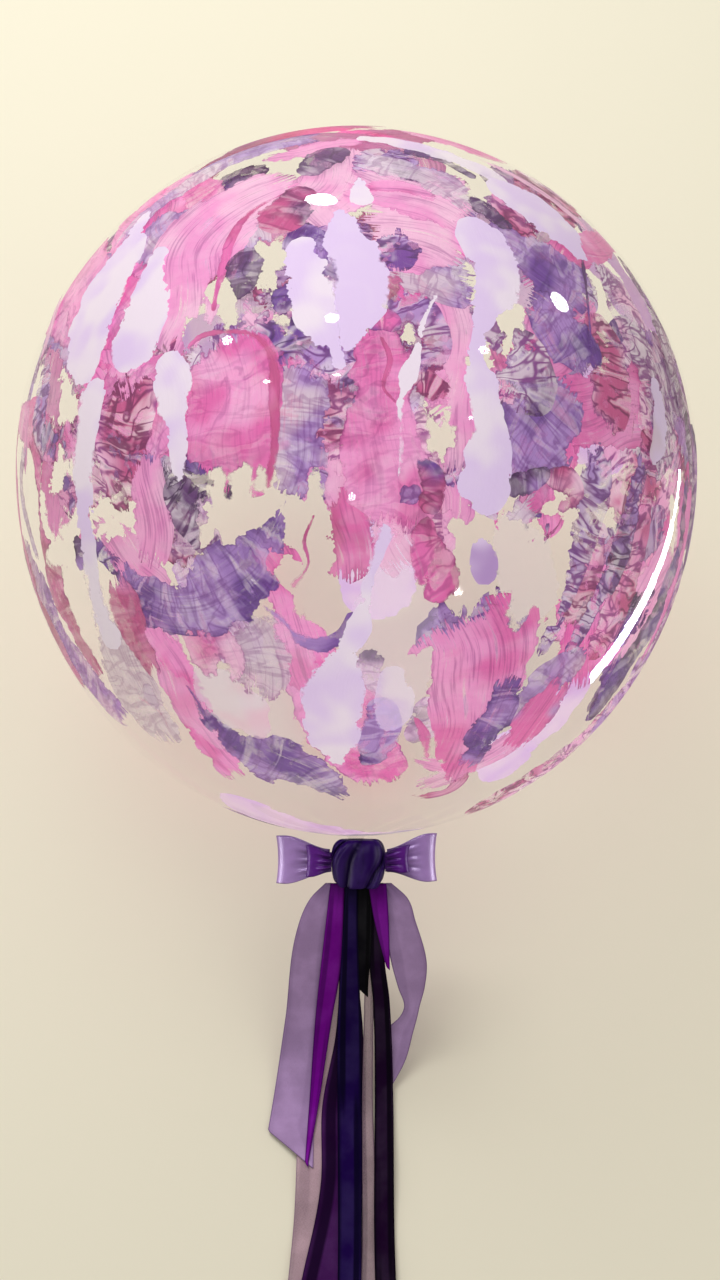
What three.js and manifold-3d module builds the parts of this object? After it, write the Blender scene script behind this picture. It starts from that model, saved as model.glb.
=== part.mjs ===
// Clear bubble balloon, lying on a floor, with a ribbon bow at its neck and loose ribbon tails.
// Millimetres. The floor is z = 0, +Z is up, and the neck and the tails point towards -Y.
// The origin is the middle of the small flat spot that the balloon lies on.
// The bow is laid out in the balloon's own frame: its axis is Y, its crown is +Y, its front is +Z.
import * as THREE from "three";
import { mergeVertices } from "three/addons/utils/BufferGeometryUtils.js";
import Module from "manifold-3d";

const wasm = await Module();
wasm.setup();

// Balloon
const balloonDiameter = 560;
const crownLength = 282; // from the widest ring to the crown
const neckLength = 300; // from the widest ring to where the neck leaves the body
const leanDegrees = 30; // how far the neck end leans down towards the floor
const flatSpotRadius = 45;
const shoulderRadius = 24; // where the round body turns into the neck
const neckRadius = 6.5;
const neckFillet = 2.5;
const stemBeyondKnot = 16; // open end of the film, below the knot
const stemLip = 1.5; // how far the open end flares
const gatherCount = 16; // soft pleats that run into the neck
const gatherDepth = 1.6;
const gatherReach = 120; // distance from the neck over which the pleats fade
const balloonSegments = 64;
const balloonRings = 27;

// Knot of the bow, wrapped round the neck
const knotWidth = 46;
const knotHeight = 35;
const knotDepth = 38;
const knotShift = 2; // the knot sits a little to the right of the axis
const knotForward = 7; // the knot sits in front of the neck
const knotRounding = 3;
const knotSquareness = 3.4; // exponent of the knot's outline
const knotFolds = 7;
const knotFoldDepth = 0.9;
const knotWaist = 1.2; // how far the wrap's front and back draw in at mid height
const knotCorners = 36;

// Ribbon
const ribbonThickness = 0.7;
const clearance = 0.3; // between pieces that touch
const layerGap = 0.5; // between ribbons that lie on each other
const loopStations = 30;
const tailStep = 12; // spacing of a tail's sections, shared by all tails

// Loose tails
const tailForward = 9.2; // where the ribbons leave the knot, in front of the neck
const dropOut = 62; // how straight the ribbons leave the knot
const dropReach = 152; // from the knot to where the ribbons meet the floor
const landing = 70; // how gently they meet it
const waveHeight = 3;
const waveLength = 96;
const layerBlend = 1; // sections over which a ribbon climbs onto the next
const sideMargin = 1.2; // ribbons closer than this side by side are stacked

const lean = THREE.MathUtils.degToRad(leanDegrees);
const balloonRadius = balloonDiameter / 2;

// The leaning ellipsoid's lowest point is this far below its middle, and the flat spot a little less.
const lowest = Math.hypot(balloonRadius * Math.cos(lean), neckLength * Math.sin(lean));
const restHeight = lowest * Math.sqrt(1 - (flatSpotRadius / balloonRadius) ** 2);
const contactShift = (Math.sin(lean) * Math.cos(lean) * (balloonRadius ** 2 - neckLength ** 2)) / lowest;

const bow = new THREE.Group();
bow.rotation.x = lean;
bow.position.set(0, (-contactShift * restHeight) / lowest, restHeight);
bow.updateMatrix();

const knotTop = -(neckLength + neckFillet + clearance);
const knotBottom = knotTop - knotHeight;
const knotMiddle = (knotTop + knotBottom) / 2;

function plastic(color, roughness, opacity = 1) {
  return new THREE.MeshStandardMaterial({
    color,
    roughness,
    metalness: 0,
    opacity,
    transparent: opacity < 1,
  });
}

const film = plastic(0xf4eef4, 0.08, 0.3);
const lilacSatin = plastic(0xc3a6dc, 0.35);
const violetSatin = plastic(0x5a1a86, 0.35);
const indigoSatin = plastic(0x1c0a45, 0.4);
const navySatin = plastic(0x0d0a26, 0.4);
const maroonSatin = plastic(0x2a0618, 0.45);
const purpleSatin = plastic(0x3a0f5c, 0.4);
const mauveOrganza = plastic(0xa88a98, 0.6, 0.6);
const greyOrganza = plastic(0x9c8fa0, 0.6, 0.6);

function merged(geometry) {
  const plain = geometry.clone();
  plain.deleteAttribute("normal");
  plain.deleteAttribute("uv");
  return mergeVertices(plain, 1e-4);
}

function toSolid(geometry) {
  const welded = merged(geometry);
  return new wasm.Manifold(
    new wasm.Mesh({
      numProp: 3,
      vertProperties: welded.attributes.position.array,
      triVerts: new Uint32Array(welded.index.array),
    }),
  );
}

function toGeometry(solid) {
  const mesh = solid.getMesh();
  const geometry = new THREE.BufferGeometry();
  geometry.setAttribute("position", new THREE.BufferAttribute(mesh.vertProperties, 3));
  geometry.setIndex(new THREE.BufferAttribute(mesh.triVerts, 1));
  geometry.computeVertexNormals();
  return geometry;
}

// Corner rows, each a list of points round one section, joined into one closed skin.
function skin(rows, closedRound) {
  const around = rows[0].length;
  const positions = rows.flat().flatMap((p) => [p.x, p.y, p.z]);
  const faces = [];
  const spans = closedRound ? rows.length : rows.length - 1;
  for (let i = 0; i < spans; i++) {
    const here = i * around;
    const next = ((i + 1) % rows.length) * around;
    for (let j = 0; j < around; j++) {
      const k = (j + 1) % around;
      faces.push(here + j, here + k, next + k, here + j, next + k, next + j);
    }
  }
  if (!closedRound) {
    const last = (rows.length - 1) * around;
    for (let j = 1; j < around - 1; j++) {
      faces.push(0, j + 1, j, last, last + j, last + j + 1);
    }
  }
  const geometry = new THREE.BufferGeometry();
  geometry.setAttribute("position", new THREE.Float32BufferAttribute(positions, 3));
  geometry.setIndex(faces);
  geometry.computeVertexNormals();
  return geometry;
}

// Balloon: two half ellipsoids, a small fillet and the tied neck, turned about Y.
function balloonProfile() {
  const points = [];
  const stemEnd = knotBottom - stemBeyondKnot;
  points.push(new THREE.Vector2(0, stemEnd));
  points.push(new THREE.Vector2(neckRadius + stemLip, stemEnd));
  points.push(new THREE.Vector2(neckRadius, stemEnd + stemBeyondKnot * 0.6));
  const filletSteps = 4;
  for (let i = 0; i <= filletSteps; i++) {
    const turn = ((i / filletSteps) * Math.PI) / 2;
    points.push(
      new THREE.Vector2(
        neckRadius + neckFillet * (1 - Math.cos(turn)),
        -neckLength - neckFillet * (1 - Math.sin(turn)),
      ),
    );
  }
  const start = Math.asin(shoulderRadius / balloonRadius);
  for (let i = 0; i < balloonRings; i++) {
    const angle = start + ((Math.PI - start) * i) / balloonRings;
    const length = angle < Math.PI / 2 ? neckLength : crownLength;
    points.push(new THREE.Vector2(balloonRadius * Math.sin(angle), -length * Math.cos(angle)));
  }
  points.push(new THREE.Vector2(0, crownLength));
  return points;
}

// The pleats dip most just outside the shoulder and fade towards the widest ring.
function gatherAt(radius, height) {
  if (height > 0 || radius <= shoulderRadius / 2) {
    return 0;
  }
  const rise = THREE.MathUtils.smoothstep(radius, shoulderRadius / 2, shoulderRadius * 1.5);
  return gatherDepth * rise * Math.exp(-(((radius - shoulderRadius) / gatherReach) ** 2) * 2);
}

function makeBalloon() {
  const geometry = new THREE.LatheGeometry(balloonProfile(), balloonSegments);
  const position = geometry.attributes.position;
  for (let i = 0; i < position.count; i++) {
    const x = position.getX(i);
    const y = position.getY(i);
    const z = position.getZ(i);
    const around = Math.atan2(z, x);
    const dip = gatherAt(Math.hypot(x, z), y) * (0.5 - 0.5 * Math.cos(gatherCount * around));
    position.setY(i, y + dip);
  }
  geometry.applyMatrix4(bow.matrix);
  const below = new THREE.BoxGeometry(balloonDiameter, balloonDiameter, balloonDiameter);
  below.translate(0, 0, -balloonDiameter / 2);
  return toGeometry(toSolid(geometry).subtract(toSolid(below)));
}

// Half width of the knot's outline at a depth in front of or behind its middle.
function knotSide(depth) {
  const share = Math.min(1, Math.abs(depth - knotForward) / (knotDepth / 2));
  return (knotWidth / 2) * (1 - share ** knotSquareness) ** (1 / knotSquareness);
}

// Knot: a soft-cornered wrap with folds across it, drilled for the neck that passes through.
// Level goes from -1 at its lower face to 1 at its upper face.
function knotRow(level) {
  const rounding = knotRounding * (1 - Math.sqrt(1 - Math.abs(level) ** 6));
  const waist = knotWaist * Math.cos((level * Math.PI) / 2);
  const row = [];
  for (let i = 0; i < knotCorners; i++) {
    const turn = (i / knotCorners) * 2 * Math.PI;
    const c = Math.cos(turn);
    const s = Math.sin(turn);
    const fold = knotFoldDepth * Math.abs(s) * (0.5 + 0.5 * Math.cos(knotFolds * (turn + level)));
    const power = 2 / knotSquareness;
    const x = Math.sign(c) * Math.abs(c) ** power * (knotWidth / 2 - rounding);
    const z = Math.sign(s) * Math.abs(s) ** power * (knotDepth / 2 - rounding - waist - fold);
    row.push(new THREE.Vector3(knotShift + x, knotMiddle + (level * knotHeight) / 2, knotForward + z));
  }
  return row;
}

function makeKnot() {
  const levels = [1, 0.94, 0.7, 0.35, 0, -0.35, -0.7, -0.94, -1];
  const body = skin(levels.map(knotRow), false);
  const hole = new THREE.CylinderGeometry(neckRadius + clearance, neckRadius + clearance, knotHeight * 2, 20);
  hole.translate(0, knotMiddle, 0);
  return toGeometry(toSolid(body).subtract(toSolid(hole)));
}

// Bow loop: a ribbon band that leaves the knot, folds back at its outer end and returns.
// Its path is a drop shape seen along the balloon's axis, and the ribbon widens towards the fold.
function makeLoop({ side, reach, depth, forward, middle, rootHeight, foldHeight, rise }) {
  const root = knotShift + side * (knotSide(forward) + clearance + ribbonThickness / 2);
  const rootShare = 0.34;
  const rows = [];
  for (let i = 0; i < loopStations; i++) {
    const turn = (i / loopStations) * 2 * Math.PI;
    const out = (1 - Math.cos(turn)) / 2;
    const swell = rootShare + (1 - rootShare) * Math.sin(turn / 2) ** 2;
    const swellSlope = (1 - rootShare) * Math.sin(turn / 2) * Math.cos(turn / 2);
    const x = root + side * reach * out;
    const z = forward + (depth / 2) * Math.sin(turn) * swell;
    const dx = side * reach * Math.sin(turn) * 0.5;
    const dz = (depth / 2) * (Math.cos(turn) * swell + Math.sin(turn) * swellSlope);
    const length = Math.hypot(dx, dz);
    const nx = (dz / length) * side * (ribbonThickness / 2);
    const nz = (-dx / length) * side * (ribbonThickness / 2);
    const half = (rootHeight + (foldHeight - rootHeight) * THREE.MathUtils.smoothstep(out, 0, 0.85)) / 2;
    const y = middle + rise * out;
    rows.push([
      new THREE.Vector3(x + nx, y - half, z + nz),
      new THREE.Vector3(x - nx, y - half, z - nz),
      new THREE.Vector3(x - nx, y + half, z - nz),
      new THREE.Vector3(x + nx, y + half, z + nz),
    ]);
  }
  if (side > 0) {
    rows.reverse();
  }
  return skin(rows, true);
}

// Organza point: a thin leaf that peeks out behind a bow loop.
function makePoint({ side, reach, forward, middle, rootHeight, rise }) {
  const root = knotShift + side * (knotSide(forward) + clearance);
  const stations = 9;
  const rows = [];
  for (let i = 0; i < stations; i++) {
    const out = i / (stations - 1);
    const half = (rootHeight / 2) * (0.6 + 1.3 * out) * (1 - out ** 3) + clearance;
    const x = root + side * reach * out;
    const y = middle + rise * out;
    const z = forward - 2 * Math.sin(out * Math.PI);
    const t = ribbonThickness / 2;
    rows.push([
      new THREE.Vector3(x, y - half, z - t),
      new THREE.Vector3(x, y + half, z - t),
      new THREE.Vector3(x, y + half, z + t),
      new THREE.Vector3(x, y - half, z + t),
    ]);
  }
  if (side < 0) {
    rows.reverse();
  }
  return skin(rows, false);
}

// Loose tails, from the lowest layer to the highest. Each row of edges holds a distance along the
// ribbon and where its left and right edges lie there, measured from the balloon's axis.
const tails = [
  {
    name: "tail_mauve_organza",
    material: mauveOrganza,
    cut: 14,
    edges: [
      [0, -16, -3],
      [60, -34, -8],
      [190, -47, -14],
      [300, -51, -16],
      [455, -66, -30],
    ],
  },
  {
    name: "tail_lilac_left",
    material: lilacSatin,
    cut: 33,
    edges: [
      [0, -25, -13],
      [12, -37, -15],
      [37, -48, -19],
      [121, -59, -24],
      [218, -73, -35],
    ],
  },
  {
    name: "tail_dark_purple",
    material: purpleSatin,
    cut: 20,
    edges: [
      [0, -11, -1],
      [60, -13, 0],
      [135, -17, 6],
      [195, -28, 7],
      [265, -29, 6],
      [337, -42, -6],
      [470, -72, -36],
    ],
  },
  {
    name: "tail_violet_left",
    material: violetSatin,
    cut: 4,
    edges: [
      [0, -21, -9],
      [70, -29, -12],
      [121, -34, -20],
      [195, -39, -31],
      [247, -42, -39],
    ],
  },
  {
    name: "tail_grey_organza",
    material: greyOrganza,
    cut: 6,
    edges: [
      [0, 8, 17],
      [95, 7, 15],
      [200, 5, 14],
      [309, 5, 18],
      [430, 0, 13],
    ],
  },
  {
    name: "tail_maroon",
    material: maroonSatin,
    cut: 12,
    edges: [
      [0, 12, 22],
      [70, 11, 24],
      [104, 14, 28],
      [361, 16, 33],
      [500, 27, 44],
    ],
  },
  {
    name: "tail_navy",
    material: navySatin,
    cut: 8,
    edges: [
      [0, 1, 13],
      [40, 0, 13],
      [92, 2, 10],
    ],
  },
  {
    name: "tail_indigo_centre",
    material: indigoSatin,
    cut: 16,
    edges: [
      [0, -9, 1],
      [60, -12, 2],
      [121, -15, 4],
      [361, -15, 4],
      [520, -22, -3],
    ],
  },
  {
    name: "tail_lilac_right",
    material: lilacSatin,
    cut: -18,
    edges: [
      [0, 17, 29],
      [12, 24, 43],
      [37, 27, 55],
      [70, 28, 58],
      [113, 33, 55],
      [146, 27, 48],
      [182, 18, 34],
    ],
  },
  {
    name: "tail_violet_short",
    material: violetSatin,
    cut: 3,
    edges: [
      [0, 10, 25],
      [30, 15, 27],
      [72, 25, 28],
    ],
  },
];

// The ribbons leave the knot along the balloon's axis, sink to the floor and lie on it in low waves.
function makeDrape(length) {
  const start = new THREE.Vector3(0, knotBottom - clearance, tailForward).applyMatrix4(bow.matrix);
  const along = new THREE.Vector3(0, -Math.cos(lean), -Math.sin(lean));
  const floorEdge = new THREE.Vector3(0, start.y - dropReach, 0);
  const drop = new THREE.CubicBezierCurve3(
    start,
    start.clone().addScaledVector(along, dropOut),
    floorEdge.clone().add(new THREE.Vector3(0, landing, 0)),
    floorEdge,
  );
  const points = drop.getPoints(14);
  const floorStep = waveLength / 8;
  for (let y = floorStep; y < length; y += floorStep) {
    const wave = (1 - Math.cos((2 * Math.PI * y) / waveLength)) / 2;
    points.push(new THREE.Vector3(0, floorEdge.y - y, waveHeight * wave));
  }
  const curve = new THREE.CatmullRomCurve3(points);
  const total = curve.getLength();
  const rows = [];
  for (let s = 0; s < Math.min(total, length + 2 * tailStep); s += tailStep) {
    const tangent = curve.getTangentAt(s / total);
    rows.push({ point: curve.getPointAt(s / total), normal: new THREE.Vector3(0, tangent.z, -tangent.y) });
  }
  return rows;
}

// An edge of a tail as a smooth function of the distance along it.
function edgeOf(tail, column) {
  const places = tail.edges.map((row) => row[0]);
  const values = tail.edges.map((row) => row[column]);
  const curve = new THREE.CubicInterpolant(places, values, 1);
  return (s) => curve.evaluate(Math.min(s, places.at(-1)))[0];
}

function spread(values, combine) {
  return values.map((_, i) => combine(values.slice(Math.max(0, i - layerBlend), i + layerBlend + 1)));
}

function average(values) {
  return values.reduce((a, b) => a + b, 0) / values.length;
}

// Height of each ribbon in the stack: one layer above the highest ribbon that it crosses below.
function layTails() {
  const longest = Math.max(...tails.map((tail) => tail.edges.at(-1)[0] + Math.abs(tail.cut)));
  const places = Math.ceil(longest / tailStep) + 2;
  const laid = [];
  for (const tail of tails) {
    const left = edgeOf(tail, 1);
    const right = edgeOf(tail, 2);
    const length = tail.edges.at(-1)[0];
    const least = [];
    for (let k = 0; k < places; k++) {
      const near = [k - 0.5, k, k + 0.5].map((place) => place * tailStep);
      const under = laid.filter((other) =>
        near.some(
          (s) =>
            s <= other.end + tailStep &&
            left(s) < other.right(s) + sideMargin &&
            other.left(s) < right(s) + sideMargin,
        ),
      );
      least.push(Math.max(0, ...under.map((other) => other.lift[k] + ribbonThickness + layerGap)));
    }
    const lift = spread(spread(least, (part) => Math.max(...part)), average);
    laid.push({ tail, left, right, lift, length, end: length + Math.abs(tail.cut) });
  }
  return laid;
}

// A tail is straight across, down to a slanting cut at its free end.
function makeTail({ tail, left, right, lift, length, end }, drape) {
  const at = (s, x, side) => {
    const k = Math.floor(s / tailStep);
    const corner = (row) => {
      const { point, normal } = drape[row];
      return point.clone().addScaledVector(normal, lift[row] + ribbonThickness * side);
    };
    const place = corner(k).lerp(corner(k + 1), s / tailStep - k);
    return new THREE.Vector3(x, place.y, place.z);
  };
  const places = [length];
  for (let s = 0; s < end - tailStep / 4; s += tailStep) {
    if (Math.abs(s - length) > tailStep / 4) {
      places.push(s);
    }
  }
  places.push(end);
  places.sort((a, b) => a - b);
  const rows = places.map((s) => {
    const gone = ((right(s) - left(s)) * Math.max(0, s - length) * 0.94) / (end - length);
    const xLeft = left(s) + (tail.cut > 0 ? gone : 0);
    const xRight = right(s) - (tail.cut < 0 ? gone : 0);
    return [at(s, xLeft, 0), at(s, xRight, 0), at(s, xRight, 1), at(s, xLeft, 1)];
  });
  return skin(rows, false);
}

const loops = [
  {
    name: "bow_loop_left",
    material: lilacSatin,
    side: -1,
    reach: 44,
    depth: 19,
    forward: 4,
    middle: knotMiddle,
    rootHeight: 19,
    foldHeight: 39,
    rise: 1,
  },
  {
    name: "bow_loop_right",
    material: lilacSatin,
    side: 1,
    reach: 41,
    depth: 19,
    forward: 4,
    middle: knotMiddle,
    rootHeight: 19,
    foldHeight: 39,
    rise: 3,
  },
  {
    name: "inner_loop_left",
    material: violetSatin,
    side: -1,
    reach: 21,
    depth: 9,
    forward: 19,
    middle: knotMiddle,
    rootHeight: 16,
    foldHeight: 26,
    rise: 1,
  },
  {
    name: "inner_loop_right",
    material: violetSatin,
    side: 1,
    reach: 20,
    depth: 9,
    forward: 19,
    middle: knotMiddle,
    rootHeight: 16,
    foldHeight: 22,
    rise: 3,
  },
];

const organzaPoints = [
  { name: "organza_point_left", side: -1, reach: 42, forward: -8.5, middle: knotMiddle, rootHeight: 12, rise: 9 },
  { name: "organza_point_right", side: 1, reach: 38, forward: -8.5, middle: knotMiddle, rootHeight: 12, rise: 9 },
];

const balloon = new THREE.Group();
balloon.add(bow);

function addPiece(group, name, geometry, material) {
  const mesh = new THREE.Mesh(geometry, material);
  mesh.name = name;
  group.add(mesh);
}

addPiece(balloon, "balloon", makeBalloon(), film);
addPiece(bow, "bow_knot", makeKnot(), indigoSatin);
for (const loop of loops) {
  addPiece(bow, loop.name, makeLoop(loop), loop.material);
}
for (const point of organzaPoints) {
  addPiece(bow, point.name, makePoint(point), mauveOrganza);
}
const laidTails = layTails();
const drape = makeDrape(Math.max(...laidTails.map((laid) => laid.end)));
for (const laid of laidTails) {
  addPiece(balloon, laid.tail.name, makeTail(laid, drape), laid.tail.material);
}

export default balloon;
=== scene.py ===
"""Clear bubble balloon with painted smears and a ribbon bow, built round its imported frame.

The balloon lies on the floor with its neck end leaning down. Shapes are worked out in the balloon's own
frame in millimetres, with its axis along Y, its crown at +Y and its front at +Z, and are then placed.
"""

import math

import bmesh
import bpy
import numpy as np
from mathutils import Matrix


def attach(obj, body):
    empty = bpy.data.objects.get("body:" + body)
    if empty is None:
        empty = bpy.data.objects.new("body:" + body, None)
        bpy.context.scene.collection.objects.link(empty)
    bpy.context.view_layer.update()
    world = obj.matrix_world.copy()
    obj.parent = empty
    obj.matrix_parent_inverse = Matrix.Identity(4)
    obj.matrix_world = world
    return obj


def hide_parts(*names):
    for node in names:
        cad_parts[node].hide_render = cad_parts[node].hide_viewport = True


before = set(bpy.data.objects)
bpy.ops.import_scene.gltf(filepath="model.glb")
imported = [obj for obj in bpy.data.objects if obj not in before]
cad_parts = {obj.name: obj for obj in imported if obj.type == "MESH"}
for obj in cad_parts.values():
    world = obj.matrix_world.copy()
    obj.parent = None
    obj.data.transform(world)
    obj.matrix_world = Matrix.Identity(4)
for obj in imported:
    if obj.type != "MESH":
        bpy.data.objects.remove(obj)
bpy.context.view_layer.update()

bl_info = {
    "name": "Clear bubble balloon",
    "version": (1, 0, 0),
    "blender": (4, 5, 0),
    "location": "View3D > Sidebar > Balloon",
    "description": "Painted clear balloon with a ribbon bow and loose tails",
    "category": "Add Mesh",
}

MM = 0.001
OCTAVE_SHARE = 0.6

# Balloon, in millimetres
RADIUS = 280.0
CROWN_LENGTH = 282.0
NECK_LENGTH = 300.0
LEAN = math.radians(30)
FLAT_SPOT_RADIUS = 45.0
SHOULDER_RADIUS = 24.0
NECK_RADIUS = 6.5
NECK_FILLET = 2.5
GATHER_COUNT = 16
GATHER_DEPTH = 1.6
GATHER_REACH = 120.0
PUCKER_COUNT = 53
PUCKER_DEPTH = 0.35
PUCKER_REACH = 70.0
STEM_MOUTH_RADIUS = 8.0

# Knot and ribbons, in millimetres
KNOT_WIDTH = 46.0
KNOT_HEIGHT = 35.0
KNOT_DEPTH = 38.0
KNOT_SHIFT = 2.0
KNOT_FORWARD = 7.0
KNOT_SQUARENESS = 3.4
KNOT_LIP = 4.5
LIP_CLEAR = 16.6
STEM_BEYOND_KNOT = 16.0
RIBBON_THICKNESS = 0.7
CLEARANCE = 0.3
LAYER_GAP = 0.5
KNOT_CELLS = (70, 220)
LOOP_CELLS = (120, 44)
POINT_CELLS = (40, 17)
TAIL_CELL = 2.4
TAIL_ACROSS = 17
TAIL_STEP = 12.0
TAIL_FORWARD = 9.2
DROP_OUT = 62.0
DROP_REACH = 152.0
LANDING = 70.0
WAVE_HEIGHT = 3.0
WAVE_LENGTH = 96.0
SIDE_MARGIN = 1.2

LOWEST = math.hypot(RADIUS * math.cos(LEAN), NECK_LENGTH * math.sin(LEAN))
REST_HEIGHT = LOWEST * math.sqrt(1 - (FLAT_SPOT_RADIUS / RADIUS) ** 2)
CONTACT_SHIFT = math.sin(LEAN) * math.cos(LEAN) * (RADIUS**2 - NECK_LENGTH**2) / LOWEST
REST_SHIFT = -CONTACT_SHIFT * REST_HEIGHT / LOWEST
KNOT_TOP = -(NECK_LENGTH + NECK_FILLET + CLEARANCE)
KNOT_BOTTOM = KNOT_TOP - KNOT_HEIGHT
KNOT_MIDDLE = (KNOT_TOP + KNOT_BOTTOM) / 2


def to_world(points):
    """Points of the balloon's own frame, leaned about X and lifted onto the floor. Millimetres."""
    points = np.asarray(points, float)
    x, y, z = points[..., 0], points[..., 1], points[..., 2]
    c, s = math.cos(LEAN), math.sin(LEAN)
    return np.stack([x, y * c - z * s + REST_SHIFT, y * s + z * c + REST_HEIGHT], -1)


def world_direction(x, y, z):
    """A direction of the balloon's own frame in the row frame."""
    c, s = math.cos(LEAN), math.sin(LEAN)
    return np.array([x, y * c - z * s, y * s + z * c])


def smoothstep(value, low, high):
    """0 below low, 1 above high, and 3t^2 - 2t^3 between."""
    t = np.clip((np.asarray(value, float) - low) / (high - low), 0, 1)
    return t * t * (3 - 2 * t)


def smooth_through(places, values, at):
    """A cubic through the values. Its slope at a place is the mean of the slopes on both sides of it."""
    places = np.asarray(places, float)
    values = np.asarray(values, float)
    if values.ndim == 1:
        return smooth_through(places, values[:, None], at)[..., 0]
    at = np.clip(np.asarray(at, float), places[0], places[-1])
    widths = np.diff(places)
    steps = np.diff(values, axis=0) / widths[:, None]
    slopes = np.concatenate([steps[:1], (steps[1:] + steps[:-1]) / 2, steps[-1:]])
    k = np.clip(np.searchsorted(places, at, side="right") - 1, 0, len(places) - 2)
    t = ((at - places[k]) / widths[k])[..., None]
    w = widths[k][..., None]
    return (
        (2 * t**3 - 3 * t**2 + 1) * values[k]
        + (t**3 - 2 * t**2 + t) * w * slopes[k]
        + (3 * t**2 - 2 * t**3) * values[k + 1]
        + (t**3 - t**2) * w * slopes[k + 1]
    )


def ripple(rng, at, period, octaves=3):
    """Noise along a line, between -1 and 1: straight between random values that are a period apart. Each
    octave has half the period of the one before it and OCTAVE_SHARE of its strength."""
    total = np.zeros_like(np.asarray(at, float))
    size = 0.0
    for octave in range(octaves):
        step = period / 2**octave
        low, high = float(np.min(at)), float(np.max(at))
        knots = np.arange(low - step, high + 2 * step, step)
        share = OCTAVE_SHARE**octave
        total += share * np.interp(at, knots, rng.uniform(-1, 1, len(knots)))
        size += share
    return total / size


def grid_faces(rows, columns, closed_rows=False, closed_columns=False):
    """Quads of a grid. Their normal is the direction along a row crossed with that to the next row."""
    i = np.arange(rows if closed_rows else rows - 1)
    j = np.arange(columns if closed_columns else columns - 1)
    i, j = np.meshgrid(i, j, indexing="ij")
    n, m = (i + 1) % rows, (j + 1) % columns
    quads = [i * columns + j, i * columns + m, n * columns + m, n * columns + j]
    return np.stack(quads, -1).reshape(-1, 4)


def make_mesh(name, points, faces, material, uv=None, values=None):
    """A smooth-shaded object at the origin. Points are millimetres in the row frame."""
    mesh = bpy.data.meshes.new(name)
    mesh.from_pydata((np.asarray(points).reshape(-1, 3) * MM).tolist(), [], np.asarray(faces).tolist())
    mesh.validate()
    loops = np.zeros(len(mesh.loops), np.int32)
    mesh.loops.foreach_get("vertex_index", loops)
    if uv is not None:
        layer = mesh.uv_layers.new(name="along")
        layer.data.foreach_set("uv", np.asarray(uv, np.float32).reshape(-1, 2)[loops].ravel())
    for key, array in (values or {}).items():
        attribute = mesh.attributes.new(key, "FLOAT_VECTOR", "POINT")
        attribute.data.foreach_set("vector", np.asarray(array, np.float32).reshape(-1, 3).ravel())
    mesh.polygons.foreach_set("use_smooth", np.ones(len(mesh.polygons), bool))
    mesh.update()
    made = bpy.data.objects.new(name, mesh)
    bpy.context.scene.collection.objects.link(made)
    made.data.materials.append(material)
    return made


def as_piece(piece, slot, *nodes):
    """Rides on the root body and stands for the nodes. The slot is not used."""
    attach(piece, "root")
    if nodes:
        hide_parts(*nodes)
    return piece


# Materials


class Nodes:
    """Short ways to add and link shader nodes of one material."""

    def __init__(self, name):
        self.material = bpy.data.materials.new(name)
        self.material.use_nodes = True
        self.tree = self.material.node_tree
        self.shader = self.tree.nodes["Principled BSDF"]

    def add(self, kind, inputs=None, **settings):
        node = self.tree.nodes.new(kind)
        for key, value in settings.items():
            setattr(node, key, value)
        for key, value in (inputs or {}).items():
            self.put(node.inputs[key], value)
        return node

    def put(self, socket, value):
        if isinstance(value, bpy.types.NodeSocket):
            self.tree.links.new(value, socket)
        else:
            socket.default_value = value

    def math(self, operation, a, b=0.0, clamp=False):
        node = self.add("ShaderNodeMath", {0: a, 1: b}, operation=operation, use_clamp=clamp)
        return node.outputs[0]

    def times(self, a, b, clamp=False):
        return self.math("MULTIPLY", a, b, clamp)

    def plus(self, a, b, clamp=False):
        return self.math("ADD", a, b, clamp)

    def minus(self, a, b):
        return self.math("SUBTRACT", a, b)

    def step(self, value, low, high, out_low=0.0, out_high=1.0):
        """Smooth ramp from out_low to out_high as the value goes from low to high."""
        kind = {"interpolation_type": "SMOOTHSTEP"}
        put = {"Value": value, "From Min": low, "From Max": high, "To Min": out_low, "To Max": out_high}
        return self.add("ShaderNodeMapRange", put, **kind).outputs["Result"]

    def mix(self, factor, a, b, blend="MIX"):
        node = self.add("ShaderNodeMix", data_type="RGBA", blend_type=blend)
        self.put(node.inputs[0], factor)
        self.put(node.inputs[6], a)
        self.put(node.inputs[7], b)
        return node.outputs[2]

    def noise(self, vector, scale, detail=3.0, roughness=0.55, distortion=0.0):
        put = {"Vector": vector, "Scale": scale, "Detail": detail, "Roughness": roughness}
        put["Distortion"] = distortion
        return self.add("ShaderNodeTexNoise", put).outputs["Fac"]

    def stretch(self, vector, x, y, z=1.0):
        put = {"Vector": vector, "Scale": (x, y, z)}
        return self.add("ShaderNodeMapping", put).outputs["Vector"]

    def vector_of(self, name):
        return self.add("ShaderNodeAttribute", attribute_name=name).outputs["Vector"]

    def split(self, vector):
        return self.add("ShaderNodeSeparateXYZ", {0: vector}).outputs

    def bump(self, height, distance, strength):
        put = {"Height": height, "Distance": distance, "Strength": strength}
        return self.add("ShaderNodeBump", put).outputs["Normal"]


def rgba(colour):
    return (colour[0], colour[1], colour[2], 1.0)


def film_material(settings):
    """Clear film: a thin grey-lilac tint with faint cloudy haze, under a glossy coat."""
    n = Nodes("clear_film")
    coords = n.add("ShaderNodeTexCoord").outputs["Object"]
    haze = n.noise(coords, 9.0, 4.0)
    colour = n.mix(haze, (0.32, 0.27, 0.31, 1), (0.62, 0.55, 0.57, 1))
    n.put(n.shader.inputs["Base Color"], colour)
    n.put(n.shader.inputs["Roughness"], 0.03)
    n.put(n.shader.inputs["IOR"], settings.film_ior)
    n.put(n.shader.inputs["Coat Weight"], 1.0)
    n.put(n.shader.inputs["Coat Roughness"], 0.02)
    n.put(n.shader.inputs["Coat IOR"], settings.film_ior)
    n.put(n.shader.inputs["Alpha"], settings.film_alpha)
    return n.material


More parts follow.
